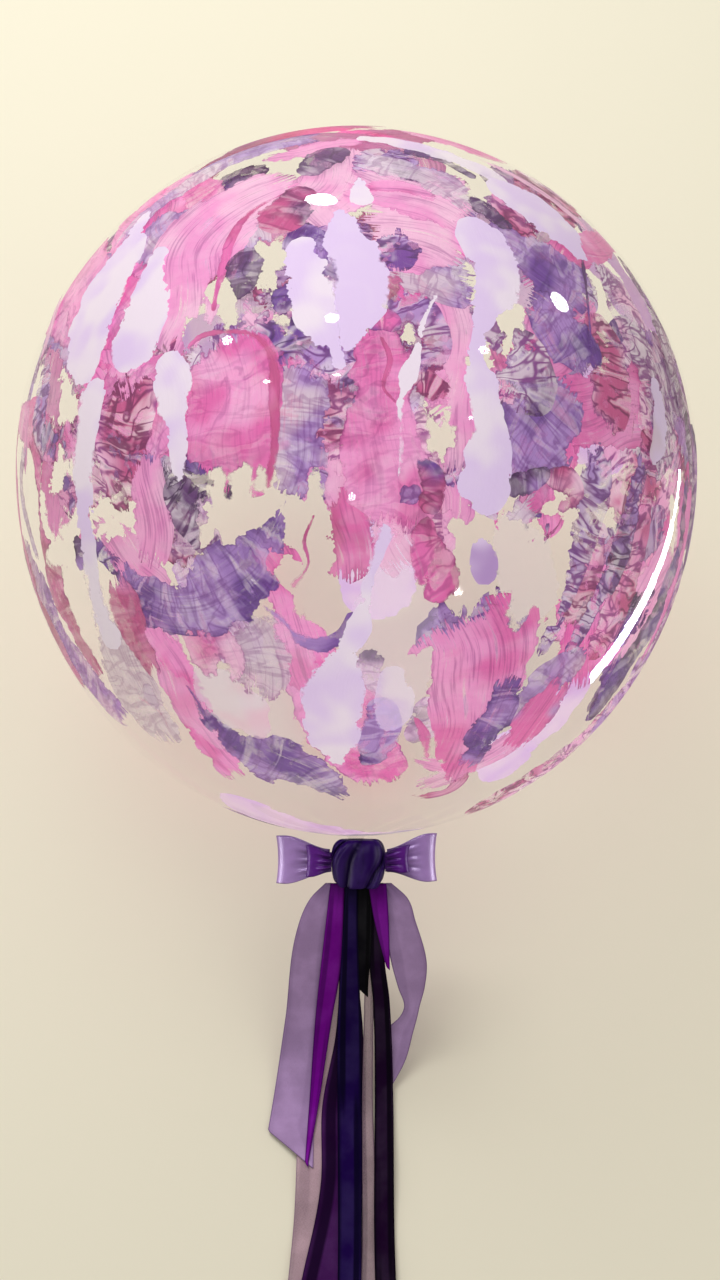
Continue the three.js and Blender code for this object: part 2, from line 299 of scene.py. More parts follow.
def paint_material(name, roughness):
    """Acrylic dragged over film, by the smear's attributes: tint and second are its colours; marks is its
    share of streaks, ridges and holes; edge is the distance to its side in millimetres, how dark its outline
    is and its opacity; wear is the distance to its ends, its fray and its bristle marks in millimetres."""
    n = Nodes(name)
    along = n.add("ShaderNodeUVMap", uv_map="along").outputs["UV"]
    coords = n.add("ShaderNodeTexCoord").outputs["Object"]
    tint = n.vector_of("tint")
    second = n.vector_of("second")
    streaks, ridges, holes = n.split(n.vector_of("marks"))[0:3]
    side, outline, opacity = n.split(n.vector_of("edge"))[0:3]
    end, fray, teeth = n.split(n.vector_of("wear"))[0:3]

    warp = n.add("ShaderNodeTexNoise", {"Vector": coords, "Scale": 14.0, "Detail": 0.0}).outputs["Color"]
    bend = n.add("ShaderNodeVectorMath", {0: warp, 1: (0.5, 0.5, 0.5)}, operation="SUBTRACT").outputs[0]
    bend = n.add("ShaderNodeVectorMath", {0: bend, "Scale": 0.25}, operation="SCALE").outputs[0]
    bent = n.add("ShaderNodeVectorMath", {0: along, 1: bend}, operation="ADD").outputs[0]

    coarse = n.noise(n.stretch(bent, 1.3, 9.0), 1.0, 3.0, 0.6)
    fine = n.noise(n.stretch(bent, 2.2, 48.0), 1.0, 2.0, 0.6)
    streak = n.plus(n.times(coarse, 0.45), n.times(fine, 0.55))
    fold = n.noise(n.stretch(bent, 8.0, 2.2), 1.0, 2.0, 0.55, 0.7)
    crease = n.math("ABSOLUTE", n.minus(fold, 0.5))
    winding = n.noise(coords, 24.0, 2.0, 0.55, 1.1)
    vein = n.math("ABSOLUTE", n.minus(winding, 0.5))
    cloud = n.noise(coords, 15.0, 2.0, 0.6)
    torn = n.noise(coords, 30.0, 4.0, 0.68)

    base = n.mix(n.step(cloud, 0.42, 0.58), tint, second)
    dark = n.mix(1.0, base, (0.34, 0.09, 0.38, 1), "MULTIPLY")
    light = n.mix(0.62, base, (0.96, 0.9, 0.95, 1))
    wash = n.times(n.plus(ridges, 0.14, True), n.step(winding, 0.52, 0.66, 0.0, 0.8))
    light_streak = n.times(streaks, n.step(streak, 0.46, 0.34, 0.0, 0.5))
    light_fold = n.times(ridges, n.step(fold, 0.53, 0.61, 0.0, 0.9))
    dark_streak = n.times(streaks, n.step(streak, 0.5, 0.62, 0.0, 0.6))
    dark_crease = n.times(ridges, n.step(crease, 0.06, 0.01))
    dark_vein = n.times(n.times(holes, 2.2, True), n.step(vein, 0.036, 0.008))
    colour = n.mix(wash, base, light)
    colour = n.mix(light_streak, colour, light)
    colour = n.mix(light_fold, colour, light)
    colour = n.mix(dark_streak, colour, dark)
    colour = n.mix(dark_crease, colour, dark)
    colour = n.mix(n.times(dark_vein, n.step(cloud, 0.56, 0.44)), colour, dark)

    ragged = n.times(n.times(n.minus(torn, 0.5), 5.0), fray)
    bristle = n.times(n.times(n.minus(streak, 0.56), 5.0), teeth)
    side_left = n.plus(side, ragged)
    end_left = n.plus(n.plus(end, ragged), bristle)
    left = n.math("MINIMUM", side_left, end_left)
    pooled = n.times(outline, n.step(left, 3.4, 0.9))
    colour = n.mix(n.times(pooled, n.step(coarse, 0.4, 0.5, 0.25, 1.0)), colour, dark)
    n.put(n.shader.inputs["Base Color"], colour)

    soft = n.step(cloud, 0.5, 0.62, 0.8, 5.0)
    body = n.step(left, 0.1, soft)
    gap = n.times(holes, n.step(n.noise(bent, 8.0, 2.0, 0.62), 0.55, 0.59))
    thin_fold = n.times(ridges, n.step(fold, 0.56, 0.66, 0.0, 0.7))
    thin_streak = n.times(streaks, n.step(streak, 0.44, 0.32, 0.0, 0.6))
    alpha = n.times(body, opacity)
    alpha = n.times(alpha, n.minus(1.0, gap))
    alpha = n.times(alpha, n.minus(1.0, thin_fold))
    alpha = n.times(alpha, n.minus(1.0, thin_streak), True)
    n.put(n.shader.inputs["Alpha"], alpha)
    n.put(n.shader.inputs["Roughness"], roughness)
    height = n.plus(streak, n.times(fold, ridges))
    n.put(n.shader.inputs["Normal"], n.bump(height, 0.0006, 0.4))
    return n.material


def ribbon_material(name, colour, sheer, roughness, gloss):
    """Woven ribbon. Its attribute edge is the distance to the selvage in millimetres and the share of
    painted shade, which darkens it where its hollows and folds would lie in shade. The selvage is darker and
    firm, and a sheer ribbon shows gaps in its weave."""
    n = Nodes(name)
    along = n.add("ShaderNodeUVMap", uv_map="along").outputs["UV"]
    inwards, depth = n.split(n.vector_of("edge"))[0:2]
    coords = n.add("ShaderNodeTexCoord").outputs["Object"]
    threads = n.noise(n.stretch(along, 40.0, 900.0), 1.0, 2.0)
    crossing = n.noise(n.stretch(along, 900.0, 60.0), 1.0, 2.0)
    cloud = n.noise(coords, 30.0, 3.0)
    deep = (colour[0] * 0.6, colour[1] * 0.55, colour[2] * 0.65, 1)
    pale = tuple(min(1.0, c * 1.25 + 0.01) for c in colour[:3]) + (1.0,)
    shade = n.mix(n.step(cloud, 0.35, 0.65), rgba(colour), pale)
    shade = n.mix(n.step(threads, 0.5, 0.75, 0.0, 0.5), shade, deep)
    selvage = n.step(inwards, 1.1, 0.5)
    shade = n.mix(n.times(selvage, 0.7), shade, deep)
    # Painted shade: a dark copy of the colour, mixed in by the second value of edge
    painted_shade = (colour[0] * 0.16, colour[1] * 0.08, colour[2] * 0.22, 1)
    shade = n.mix(depth, shade, painted_shade)
    n.put(n.shader.inputs["Base Color"], shade)
    n.put(n.shader.inputs["Roughness"], roughness)
    n.put(n.shader.inputs["Specular IOR Level"], gloss)
    weave = n.plus(threads, crossing)
    n.put(n.shader.inputs["Normal"], n.bump(weave, 0.0001, 0.5))
    if sheer < 1:
        open_weave = n.step(weave, 0.8, 1.15, sheer - 0.14, sheer + 0.1)
        alpha = n.math("MAXIMUM", open_weave, n.times(selvage, 0.92), True)
        n.put(n.shader.inputs["Alpha"], alpha)
    return n.material


# Film


def film_profile(count):
    """Radius and height of the film's profile: flared end, neck, fillet and two half ellipsoids."""
    stem_end = KNOT_BOTTOM - STEM_BEYOND_KNOT
    start = math.asin(SHOULDER_RADIUS / RADIUS)
    angle = np.linspace(start, math.pi, count)
    length = np.where(angle < math.pi / 2, NECK_LENGTH, CROWN_LENGTH)
    body = np.stack([RADIUS * np.sin(angle), -length * np.cos(angle)], -1)
    body[-1, 0] = 0.0
    turn = np.linspace(0, math.pi / 2, 6)
    fillet_radius = NECK_RADIUS + NECK_FILLET * (1 - np.cos(turn))
    fillet = np.stack([fillet_radius, -NECK_LENGTH - NECK_FILLET * (1 - np.sin(turn))], -1)
    mouth = [STEM_MOUTH_RADIUS, stem_end]
    stem = np.array([[0.0, stem_end + 2], [5.0, stem_end + 1], mouth, [NECK_RADIUS, stem_end + 9.6]])
    return np.concatenate([stem, fillet, body])


def film_points(rings=170, around=240):
    """The profile turned about Y, with soft pleats near the neck and finer puckers between them."""
    profile = film_profile(rings)
    theta = np.linspace(0, 2 * math.pi, around, endpoint=False)
    radius, height = profile[:, :1], profile[:, 1:]
    near = smoothstep(radius, SHOULDER_RADIUS / 2, SHOULDER_RADIUS * 1.5)
    fade = np.exp(-2 * ((radius - SHOULDER_RADIUS) / GATHER_REACH) ** 2)
    fine_fade = np.exp(-2 * ((radius - SHOULDER_RADIUS) / PUCKER_REACH) ** 2)
    pleats = GATHER_DEPTH * near * fade * (0.5 - 0.5 * np.cos(GATHER_COUNT * theta))
    uneven = PUCKER_COUNT * theta + 2 * np.sin(3 * theta)
    puckers = PUCKER_DEPTH * near * fine_fade * (1 - np.cos(uneven)) / 2
    dip = np.where(height < 0, pleats + puckers, 0)
    points = np.stack([radius * np.cos(theta), height + dip, radius * np.sin(theta)], -1)
    placed = to_world(points)
    placed[..., 2] = np.maximum(placed[..., 2], 0.0)
    return placed


# Paint strokes, listed one by one. Each row: kind, tint, second tint, opacity, then points along the stroke
# as
# (x, y, half width) in hundredths of the balloon's seen radius, from the main camera. Upper strokes first.
FRONT_STROKES = [
    ("drip", "lavender", "lavender", 1, [(24, 52, 0.8), (20, 44, 0.8), (18, 36, 1.5), (15, 27, 3.5),
        (13, 21, 1.4), (13, 10, 0.8), (12, -2, 0.8)]),
    ("drip", "lavender", "lilac", 1, [(8, -15, 3), (6, -26, 3), (4, -36, 3), (1, -46, 3.4), (-3, -53, 5),
        (-6, -60, 9), (-7, -69, 10.5), (-6, -78, 9), (-4, -86, 4)]),
    ("drip", "lilac", "lilac", 1, [(-5, 77, 3), (-3, 70, 6), (0, 62, 8), (1, 54, 9), (0, 47, 8),
        (-2, 41, 5), (-4, 35, 3)]),
    ("drip", "lilac", "lavender", 1, [(-16, 69, 5), (-15, 62, 7), (-13, 53, 8), (-9, 44, 7), (-6, 37, 4),
        (-4, 30, 2)]),
    ("drip", "lavender", "lilac", 1, [(0, 89, 1), (1, 84, 3), (2, 78, 5)]),
    ("drip", "lilac", "lavender", 1, [(33, 75, 4), (37, 68, 8), (41, 60, 9), (42, 54, 8), (39, 47, 5),
        (37, 40, 3), (36, 33, 2.5), (37, 25, 4), (38, 14, 5.5), (38, 4, 7.5), (38, -6, 8.5), (38, -13, 5)]),
    ("drip", "lilac", "lavender", 1, [(38, 85, 4), (46, 81, 8), (55, 75, 10), (62, 68, 8), (65, 62, 4)]),
    ("drip", "lavender", "lilac", 0.9, [(0, 98, 3), (15, 96, 4), (28, 92, 4.5), (38, 88, 4), (44, 84, 3)]),
    ("drip", "lilac", "lavender", 1, [(-60, 77, 3), (-65, 70, 6), (-70, 61, 9), (-75, 50, 11),
        (-78, 40, 11), (-79, 32, 8), (-78, 26, 5)]),
    ("drip", "lavender", "lilac", 1, [(-58, 66, 3), (-60, 58, 7), (-62, 48, 10), (-65, 38, 10),
        (-69, 29, 7)]),
    ("drip", "lilac", "lavender", 1, [(-76, 28, 6), (-79, 14, 4.5), (-80, 0, 4), (-79, -16, 4),
        (-77, -32, 4), (-74, -44, 5), (-70, -52, 6)]),
    ("drip", "lilac", "lavender", 1, [(-56, 35, 4), (-54, 28, 6.5), (-54, 18, 6), (-53, 8, 4),
        (-52, -3, 2.5)]),
    ("drip", "lilac", "mauve", 0.95, [(87, 28, 2.5), (89, 18, 4.5), (89, 8, 4.5), (87, 2, 3)]),
    ("drip", "lavender", "lilac", 0.7, [(9, -57, 3), (11, -63, 5), (11, -70, 5.5), (9, -76, 3)]),
    ("drip", "lilac", "violet", 0.9, [(36, -19, 2.5), (38, -26, 4.5), (39, -33, 3)]),
    ("flake", "plum", "mauve", 0.95, [(-3, 95, 2.5), (-9, 92, 5), (-16, 87, 3)]),
    ("flake", "plum", "crimson", 1, [(-15, 84, 3), (-18, 80, 5), (-22, 75, 6.5), (-25, 70, 4)]),
    ("flake", "plum", "purple", 1, [(14, 94, 2.4), (22, 93, 3), (28, 90, 1.6), (35, 86, 1.2)]),
    ("flake", "plum", "plum", 1, [(33, 81, 1.5), (38, 77, 3.4), (42, 74, 2.8), (46, 71, 1.5)]),
    ("flake", "plum", "plum", 1, [(37, 88, 1.6), (40, 85, 2.2), (42, 82, 1)]),
    ("flake", "plum", "mauve", 0.9, [(-32, 66, 2.4), (-33, 61, 4.6), (-34, 55, 4), (-35, 50, 2)]),
    ("flake", "violet", "plum", 1, [(-78, 27, 2), (-77, 21, 2.8), (-77, 16, 1.5)]),
    ("flake", "plum", "violet", 1, [(-82, -18, 1.5), (-81, -23, 2.5), (-81, -29, 1.5)]),
    ("flake", "plum", "mauve", 0.9, [(-61, -62, 1.5), (-60, -66, 2.5), (-58, -70, 1.5)]),
    ("flake", "plum", "purple", 1, [(97, -2, 2), (96, -12, 2.8), (95, -22, 3.4), (91, -34, 4), (87, -44, 5),
        (81, -53, 5), (76, -61, 5), (72, -68, 4), (69, -73, 2)]),
    ("flake", "purple", "violet", 1, [(8, -66, 3), (7, -73, 4.5), (6, -80, 4.5), (2, -86, 3)]),
    ("flake", "plum", "violet", 1, [(44, -5, 2.5), (50, -3, 3), (57, 1, 2)]),
    ("line", "plum", "purple", 1, [(65, 68, 0.8), (67, 58, 0.9), (68, 48, 0.8), (69, 36, 0.8)]),
    ("line", "magenta", "crimson", 1, [(-21, 82, 0.8), (-31, 76, 1.4), (-37, 68, 1.8), (-40, 56, 1.8),
        (-42, 47, 1)]),
    ("line", "magenta", "crimson", 1, [(-54, 31, 0.8), (-47, 39, 1.2), (-38, 41, 1.2), (-30, 40, 1.4),
        (-25, 34, 1.8), (-24, 22, 1.8), (-24, 8, 1.5), (-26, -5, 1)]),
    ("line", "crimson", "magenta", 0.9, [(17, -72, 0.7), (20, -78, 2), (21, -84, 0.8)]),
    ("flake", "crimson", "purple", 1, [(18, 4, 1.5), (22, -1, 3), (23, -6, 2.5), (20, -12, 3)]),
    ("flake", "crimson", "magenta", 1, [(21, -13, 2), (20, -20, 3.5), (23, -27, 4.5), (25, -33, 4),
        (20, -37, 2)]),
    ("line", "crimson", "magenta", 1, [(-12, -12, 0.7), (-15, -20, 1), (-14, -27, 0.8), (-19, -34, 1.1)]),
    ("flake", "crimson", "rose", 1, [(55, -2, 1.5), (61, -3, 3.4), (64, -7, 2.6), (59, -11, 1.6)]),
    ("line", "crimson", "purple", 1, [(-50, -62, 0.7), (-46, -68, 1.2), (-43, -74, 0.9)]),
    ("line", "crimson", "magenta", 0.9, [(-64, -66, 0.5), (-58, -70, 0.7), (-54, -77, 0.5)]),
    ("line", "purple", "violet", 1, [(-31, -34, 0.9), (-27, -39, 1.4), (-21, -44, 1.4), (-17, -49, 2.6),
        (-10, -51, 2.6), (-4, -48, 2), (-1, -41, 1.2)]),
    ("line", "crimson", "magenta", 0.9, [(7, 40, 0.8), (10, 33, 1), (8, 25, 1), (12, 20, 0.8)]),
    ("flake", "purple", "magenta", 1, [(2, 43, 1.6), (8, 45, 3), (13, 42, 1.8)]),
    ("flake", "purple", "mauve", 0.95, [(-24, 47, 2), (-20, 52, 3.6), (-15, 54, 2.5)]),
    ("flake", "violet", "purple", 0.8, [(13, -4, 2), (16, -7, 3), (17, -10, 2)]),
    ("press", "crimson", "mauve", 0.95, [(16, 25, 2), (22, 25, 3.4), (28, 22, 2)]),
    ("fan", "pink", "rose", 0.97, [(-19, 87, 5), (-30, 82, 10), (-41, 74, 14), (-48, 64, 16), (-50, 54, 15),
        (-51, 44, 11), (-54, 34, 6)]),
    ("dome", "pink", "magenta", 0.97, [(-40, 40, 9), (-38, 34, 13), (-37, 24, 14), (-37, 12, 13.5),
        (-36, 2, 12), (-38, -6, 11)]),
    ("dome", "magenta", "pink", 0.97, [(3, 44, 4), (6, 38, 8), (8, 30, 9), (8, 20, 9), (8, 8, 11),
        (10, -2, 12), (11, -10, 11), (10, -18, 5)]),
    ("press", "mauve", "purple", 0.95, [(-19, 55, 4), (-20, 50, 8), (-20, 44, 11.5), (-18, 37, 11),
        (-16, 31, 8)]),
    ("sweep", "violet", "mauve", 0.95, [(-12, 34, 5), (-16, 24, 7), (-17, 14, 8), (-17, 3, 7),
        (-19, -8, 4)]),
    ("press", "crimson", "rose", 0.9, [(-6, 28, 4), (-7, 20, 7), (-7, 12, 7), (-8, 4, 5)]),
    ("sweep", "violet", "mauve", 0.9, [(-2, 92, 3), (8, 90, 5), (18, 88, 6), (28, 83, 5), (36, 76, 4)]),
    ("fan", "magenta", "pink", 0.95, [(2, 84, 2), (12, 84, 3), (23, 81, 2.5)]),
    ("fan", "pink", "rose", 0.95, [(-3, 86, 7), (10, 83, 9), (22, 79, 9), (33, 73, 6)]),
    ("press", "violet", "purple", 0.9, [(10, 72, 3), (11, 66, 6), (11, 59, 3)]),
    ("fan", "rose", "pink", 0.97, [(0, 72, 9), (13, 70, 12), (25, 67, 10), (33, 63, 7)]),
    ("sweep", "violet", "mauve", 0.95, [(10, 62, 3), (18, 60, 7), (27, 57, 8), (36, 55, 7)]),
    ("press", "mauve", "violet", 0.85, [(12, 53, 3), (16, 46, 7), (19, 38, 7), (21, 30, 5)]),
    ("sweep", "violet", "purple", 0.97, [(32, 76, 2), (40, 71, 4.5), (48, 66, 7), (56, 60, 10), (64, 55, 9),
        (70, 50, 6)]),
    ("sweep", "violet", "purple", 0.97, [(49, 53, 4), (56, 48, 9), (61, 42, 10), (66, 35, 9), (68, 28, 5)]),
    ("press", "mauve", "plum", 0.95, [(40, 39, 5), (46, 33, 9), (48, 26, 10), (46, 18, 7)]),
    ("sweep", "violet", "purple", 0.97, [(64, 27, 4), (60, 21, 9), (55, 13, 12), (49, 4, 10), (45, -3, 5)]),
    ("press", "mauve", "rose", 0.95, [(70, 62, 3), (76, 54, 6), (81, 44, 7), (84, 34, 6), (86, 24, 4),
        (84, 12, 3)]),
    ("press", "rose", "crimson", 0.97, [(69, 47, 4), (73, 38, 7), (75, 28, 8), (75, 19, 7), (73, 12, 4)]),
    ("press", "mauve", "plum", 0.95, [(85, 50, 3), (91, 36, 4), (95, 22, 4), (98, 6, 3), (98, -6, 2)]),
    ("fan", "rose", "pink", 0.9, [(36, 92, 1.5), (48, 86, 2), (60, 78, 2.2), (69, 70, 2)]),
    ("press", "violet", "mauve", 0.97, [(68, 10, 3), (71, 2, 5), (70, -8, 6), (67, -18, 5.5),
        (64, -30, 4.5), (60, -40, 4), (57, -48, 3), (54, -54, 1.5)]),
    ("press", "crimson", "rose", 0.95, [(71, -14, 4), (68, -26, 6), (65, -38, 5), (62, -46, 3)]),
    ("press", "violet", "plum", 0.97, [(85, 6, 3), (82, -8, 4), (79, -20, 4.5), (75, -32, 4), (70, -40, 4),
        (67, -46, 3), (63, -54, 2)]),
    ("press", "pink", "crimson", 0.95, [(88, 12, 4), (86, 2, 5), (84, -8, 6), (82, -18, 7), (80, -28, 8),
        (77, -38, 8), (73, -48, 6), (69, -55, 3)]),
    ("press", "violet", "purple", 0.95, [(40, -27, 2), (47, -25, 3.6), (53, -18, 3.8), (56, -12, 2)]),
    ("fan", "crimson", "magenta", 0.92, [(-8, -6, 5), (-5, -14, 7), (-3, -22, 8), (-2, -32, 6)]),
    ("fan", "rose", "pink", 0.92, [(28, 54, 5), (30, 42, 5.5), (31, 28, 5), (31, 14, 5), (29, 0, 4)]),
    ("press", "violet", "crimson", 0.95, [(23, 7, 3), (28, 2, 4.5), (30, -4, 3)]),
    ("press", "crimson", "rose", 0.8, [(18, 20, 5), (20, 10, 6), (20, 0, 5), (21, -12, 4), (22, -24, 4),
        (24, -34, 4)]),
    ("sweep", "purple", "violet", 0.95, [(46, -60, 3.5), (43, -69, 5), (38, -78, 5.5), (33, -87, 3)]),
    ("fan", "magenta", "violet", 0.95, [(61, -60, 3), (57, -67, 6), (52, -74, 6.5), (45, -82, 4)]),
    ("fan", "pink", "magenta", 0.95, [(33, -40, 19), (36, -50, 18), (35, -60, 15), (33, -72, 11),
        (31, -82, 7), (30, -91, 3)]),
    ("sweep", "violet", "mauve", 0.92, [(68, -52, 3), (61, -59, 6), (53, -67, 7), (45, -77, 5)]),
    ("fan", "pink", "rose", 0.85, [(61, -65, 2.5), (55, -72, 5), (46, -79, 6.5), (38, -84, 5.5),
        (29, -89, 3.5), (18, -93, 2)]),
    ("fan", "crimson", "pink", 0.9, [(17, -85, 1.5), (24, -87, 2.6), (31, -89, 3), (28, -94, 2.2),
        (16, -96, 1.4)]),
    ("sweep", "mauve", "lilac", 0.85, [(-97, 8, 2), (-98, -4, 2), (-96, -16, 2), (-93, -26, 1.5)]),
    ("dome", "magenta", "crimson", 0.95, [(-95, 12, 2.5), (-93, 0, 3), (-93, -10, 2), (-92, -18, 2),
        (-89, -27, 5.5), (-87, -36, 6), (-83, -45, 5), (-78, -54, 3.5), (-73, -62, 2)]),
    ("press", "violet", "purple", 0.97, [(-91, 16, 5), (-88, 8, 5), (-85, -3, 3), (-81, -14, 2.5),
        (-76, -22, 2), (-69, -29, 3)]),
    ("dome", "pink", "crimson", 0.97, [(-71, -29, 2), (-69, -36, 5.5), (-66, -45, 6), (-62, -53, 4.5),
        (-58, -61, 2)]),
    ("sweep", "lavender", "mauve", 0.75, [(-77, -30, 4), (-75, -42, 6), (-71, -52, 9), (-66, -62, 11),
        (-61, -71, 10), (-54, -80, 5)]),
    ("sweep", "violet", "purple", 0.97, [(-69, -27, 3), (-65, -35, 6), (-57, -40, 7), (-48, -40, 8),
        (-38, -34, 10), (-29, -26, 9), (-24, -17, 4.5), (-20, -8, 1.4)]),
    ("press", "mauve", "plum", 0.95, [(-55, -1, 3), (-51, -8, 5), (-45, -15, 6), (-40, -23, 5)]),
    ("fan", "pink", "rose", 0.95, [(-63, 6, 5), (-61, -6, 6), (-60, -18, 6), (-61, -28, 4)]),
    ("press", "crimson", "rose", 0.95, [(-68, 29, 6), (-68, 20, 10), (-69, 10, 10), (-69, -2, 8),
        (-68, -12, 5)]),
    ("press", "crimson", "mauve", 0.9, [(-53, -9, 6), (-51, -18, 8), (-50, -28, 7)]),
    ("dome", "magenta", "rose", 0.9, [(-49, -41, 5), (-45, -48, 7), (-41, -55, 8), (-38, -63, 5)]),
    ("sweep", "rose", "mauve", 0.85, [(-34, -41, 4), (-29, -49, 7), (-27, -58, 7), (-29, -67, 5)]),
    ("drip", "rose", "lavender", 0.55, [(-48, -57, 5), (-41, -65, 10), (-33, -72, 10), (-27, -79, 6)]),
    ("sweep", "violet", "purple", 0.97, [(-49, -65, 1.5), (-43, -73, 3.5), (-35, -80, 5.5), (-25, -85, 9),
        (-15, -89, 8.5), (-8, -94, 4.5), (-4, -97, 1.5)]),
    ("sweep", "violet", "mauve", 0.9, [(-8, 98, 1.6), (-24, 95, 3), (-37, 91, 4), (-50, 84, 5),
        (-62, 75, 4.5), (-70, 66, 3)]),
    ("fan", "pink", "rose", 0.95, [(-27, 92, 4), (-16, 94, 5), (-5, 97, 4), (4, 97, 2)]),
    ("fan", "rose", "pink", 0.85, [(-86, 52, 1.5), (-89, 44, 2.4), (-92, 33, 2)]),
    ("press", "mauve", "violet", 0.95, [(-90, 35, 2.5), (-92, 24, 4.5), (-93, 12, 4.5), (-92, 2, 3)]),
    ("fan", "pink", "rose", 0.9, [(-96, 20, 1.5), (-97, 10, 2), (-97, 0, 2)]),
    ("drip", "lavender", "lavender", 0.24, [(10, -28, 8), (12, -46, 14), (9, -62, 15), (6, -76, 10),
        (4, -84, 5)]),
    ("drip", "lavender", "lavender", 0.22, [(-26, -42, 9), (-22, -58, 13), (-24, -72, 11), (-28, -80, 6)]),
    ("drip", "lavender", "lavender", 0.2, [(-62, -55, 7), (-53, -66, 9), (-43, -76, 8), (-33, -84, 4)]),
    ("drip", "lavender", "lavender", 0.2, [(44, -12, 6), (50, -28, 9), (54, -44, 7)]),
]

# Each kind of stroke: its shares of streaks along it, ridges across it and holes, how dark its outline is,
# the wander and the fray of its sides and the bristle marks at its ends in millimetres, how round it ends,
# and how much wider it is laid than its row says
KINDS = {
    "drip": ((0.0, 0.0, 0.0), 0.0, 9.0, 8.0, 0, 1, 1.0),
    "flake": ((0.3, 0.4, 0.3), 0.7, 8.0, 9.0, 8, 1, 1.3),
    "line": ((0.2, 0.0, 0.2), 0.3, 3.0, 4.0, 0, 1, 0.95),
    "fan": ((0.8, 0.05, 0.0), 0.3, 9.0, 9.0, 17, 0.4, 1.16),
    "dome": ((0.4, 0.2, 0.15), 0.8, 8.0, 6.0, 14, 0.7, 1.1),
    "sweep": ((0.75, 0.4, 0.15), 0.6, 11.0, 12.0, 15, 0.6, 1.22),
    "press": ((0.25, 0.95, 0.45), 0.8, 13.0, 14.0, 10, 0.7, 1.26),
}
# Kinds that the torn gaps are taken out of
TORN_KINDS = ("fan", "dome", "sweep", "press")
# The tints that each piece of paint is made of
FAMILIES = {
    "paint_lilac": ("lilac", "lavender"),
    "paint_pink": ("pink", "rose"),
    "paint_magenta": ("magenta", "crimson"),
    "paint_violet": ("violet", "purple"),
    "paint_plum": ("plum", "mauve"),
}
# The paint's mesh cell, depth of its first layer, step between layers, and its edges, in millimetres
PAINT_CELL = 2.1
FIRST_LAYER = 0.35
LAYER_STEP = 0.11
WANDER_PERIOD = 38.0
LEAST_HALF_WIDTH = 0.15
BRISTLE_PERIOD = 5.0
BRISTLE_LENGTH = 9.0
SPARED_END = 20.0
# Seeded strokes: each back stroke's middle is the best of some random directions, on the rear or just round
# the sides, where those near a gap of the front count for less
STROKE_SEED = 1000
BACK_SEED = 20
BACK_STROKES = 58
BACK_TRIES = 24
BACK_LOWEST = -0.82
BACK_FOREMOST = 0.12
BEHIND_GAP = 9
BEHIND_GAP_WORTH = 0.3
PATH_POINTS = 7
FILL_SEED = 7
FILL_STROKES = 60
FILL_POINTS = 6
GAP_TALLNESS = 1.8
# Clear places of the front as (x, y, radius) in hundredths of the balloon's radius: those that seeded smears
# keep away from, and those torn out of the smears that cross them, about twice as tall as wide
FRONT_GAPS = [
    (-34, 53, 8), (-42, 44, 5), (-24, 62, 5), (37, 82, 4), (46, 44, 6), (38, 27, 3), (24, 6, 4),
    (-86, 20, 4), (-84, -22, 7), (-38, -12, 7), (-14, -14, 7), (-14, -30, 8), (-30, -2, 5), (50, -30, 9),
    (44, -14, 6), (60, -8, 5), (12, -40, 7), (32, -18, 6), (-24, -66, 8), (6, -94, 9), (-58, -84, 9),
    (-31, -94, 10), (32, -94, 8), (-72, -62, 8),
]
TORN_GAPS = [
    (-38, 51, 4), (-25, 61, 4.5), (-46, 43, 3), (-20, 45, 2.5), (37, 82, 3), (47, 45, 4), (37, 30, 3),
    (25, 10, 3), (16, 40, 2.5), (-86, 20, 3), (-86, 2, 2.5), (-73, -15, 3), (-84, -22, 5), (-41, -13, 5),
    (-34, -9, 4), (-14, -14, 6), (-14, -31, 6.5), (-26, -4, 3), (53, -32, 7), (46, -22, 6), (44, -10, 4),
    (60, -9, 3.5), (12, -40, 6), (32, -20, 4.5), (-40, -62, 3), (18, -60, 4),
]
# The camera's place in the balloon's own frame, and a hundredth of the radius that it sees, in millimetres
CAMERA_PLACE = np.array([3.3, -138.6, 2400.0])
SEEN_HUNDREDTH = 2.82


def directions_of(points):
    """Unit directions in the ellipsoids' shares for points seen from the camera, in hundredths of the seen
    radius: where the line of sight first meets the two half ellipsoids, or passes nearest to them."""
    x, y = points[:, 0] * SEEN_HUNDREDTH, points[:, 1] * SEEN_HUNDREDTH
    length = np.where(y < 0, NECK_LENGTH, CROWN_LENGTH)
    wide = np.full_like(length, RADIUS)
    axes = np.stack([wide, length, wide], -1)
    eye = CAMERA_PLACE / axes
    sight = np.stack([x, y, 0 * x], -1) / axes - eye
    steepness = (sight * sight).sum(-1)
    nearest = -(eye * sight).sum(-1)
    inside = np.maximum(nearest**2 - steepness * ((eye * eye).sum(-1) - 1), 0)
    return unit(eye + sight * ((nearest - np.sqrt(inside)) / steepness)[:, None])


def seen_at(direction):
    """Where the camera sees the film's spot in a direction, in hundredths of the balloon's seen radius."""
    spot = on_film(direction, 0)
    share = CAMERA_PLACE[2] / (CAMERA_PLACE[2] - spot[..., 2:])
    return (CAMERA_PLACE[:2] + (spot[..., :2] - CAMERA_PLACE[:2]) * share) / SEEN_HUNDREDTH


def widths_of(points, direction):
    """Half widths in shares of the radius. What bulges towards the camera looks wider than it is."""
    return points[:, 2] / 100 * (1 - direction[:, 2] * RADIUS / CAMERA_PLACE[2])


def on_film(direction, depth):
    """The film's surface in a direction, moved inwards by a depth in millimetres."""
    length = np.where(direction[..., 1] < 0, NECK_LENGTH, CROWN_LENGTH)
    wide = np.full_like(length, RADIUS)
    scale = np.stack([wide, length, wide], -1) - depth
    return direction * scale


def unit(vectors):
    return vectors / np.maximum(np.linalg.norm(vectors, axis=-1, keepdims=True), 1e-9)


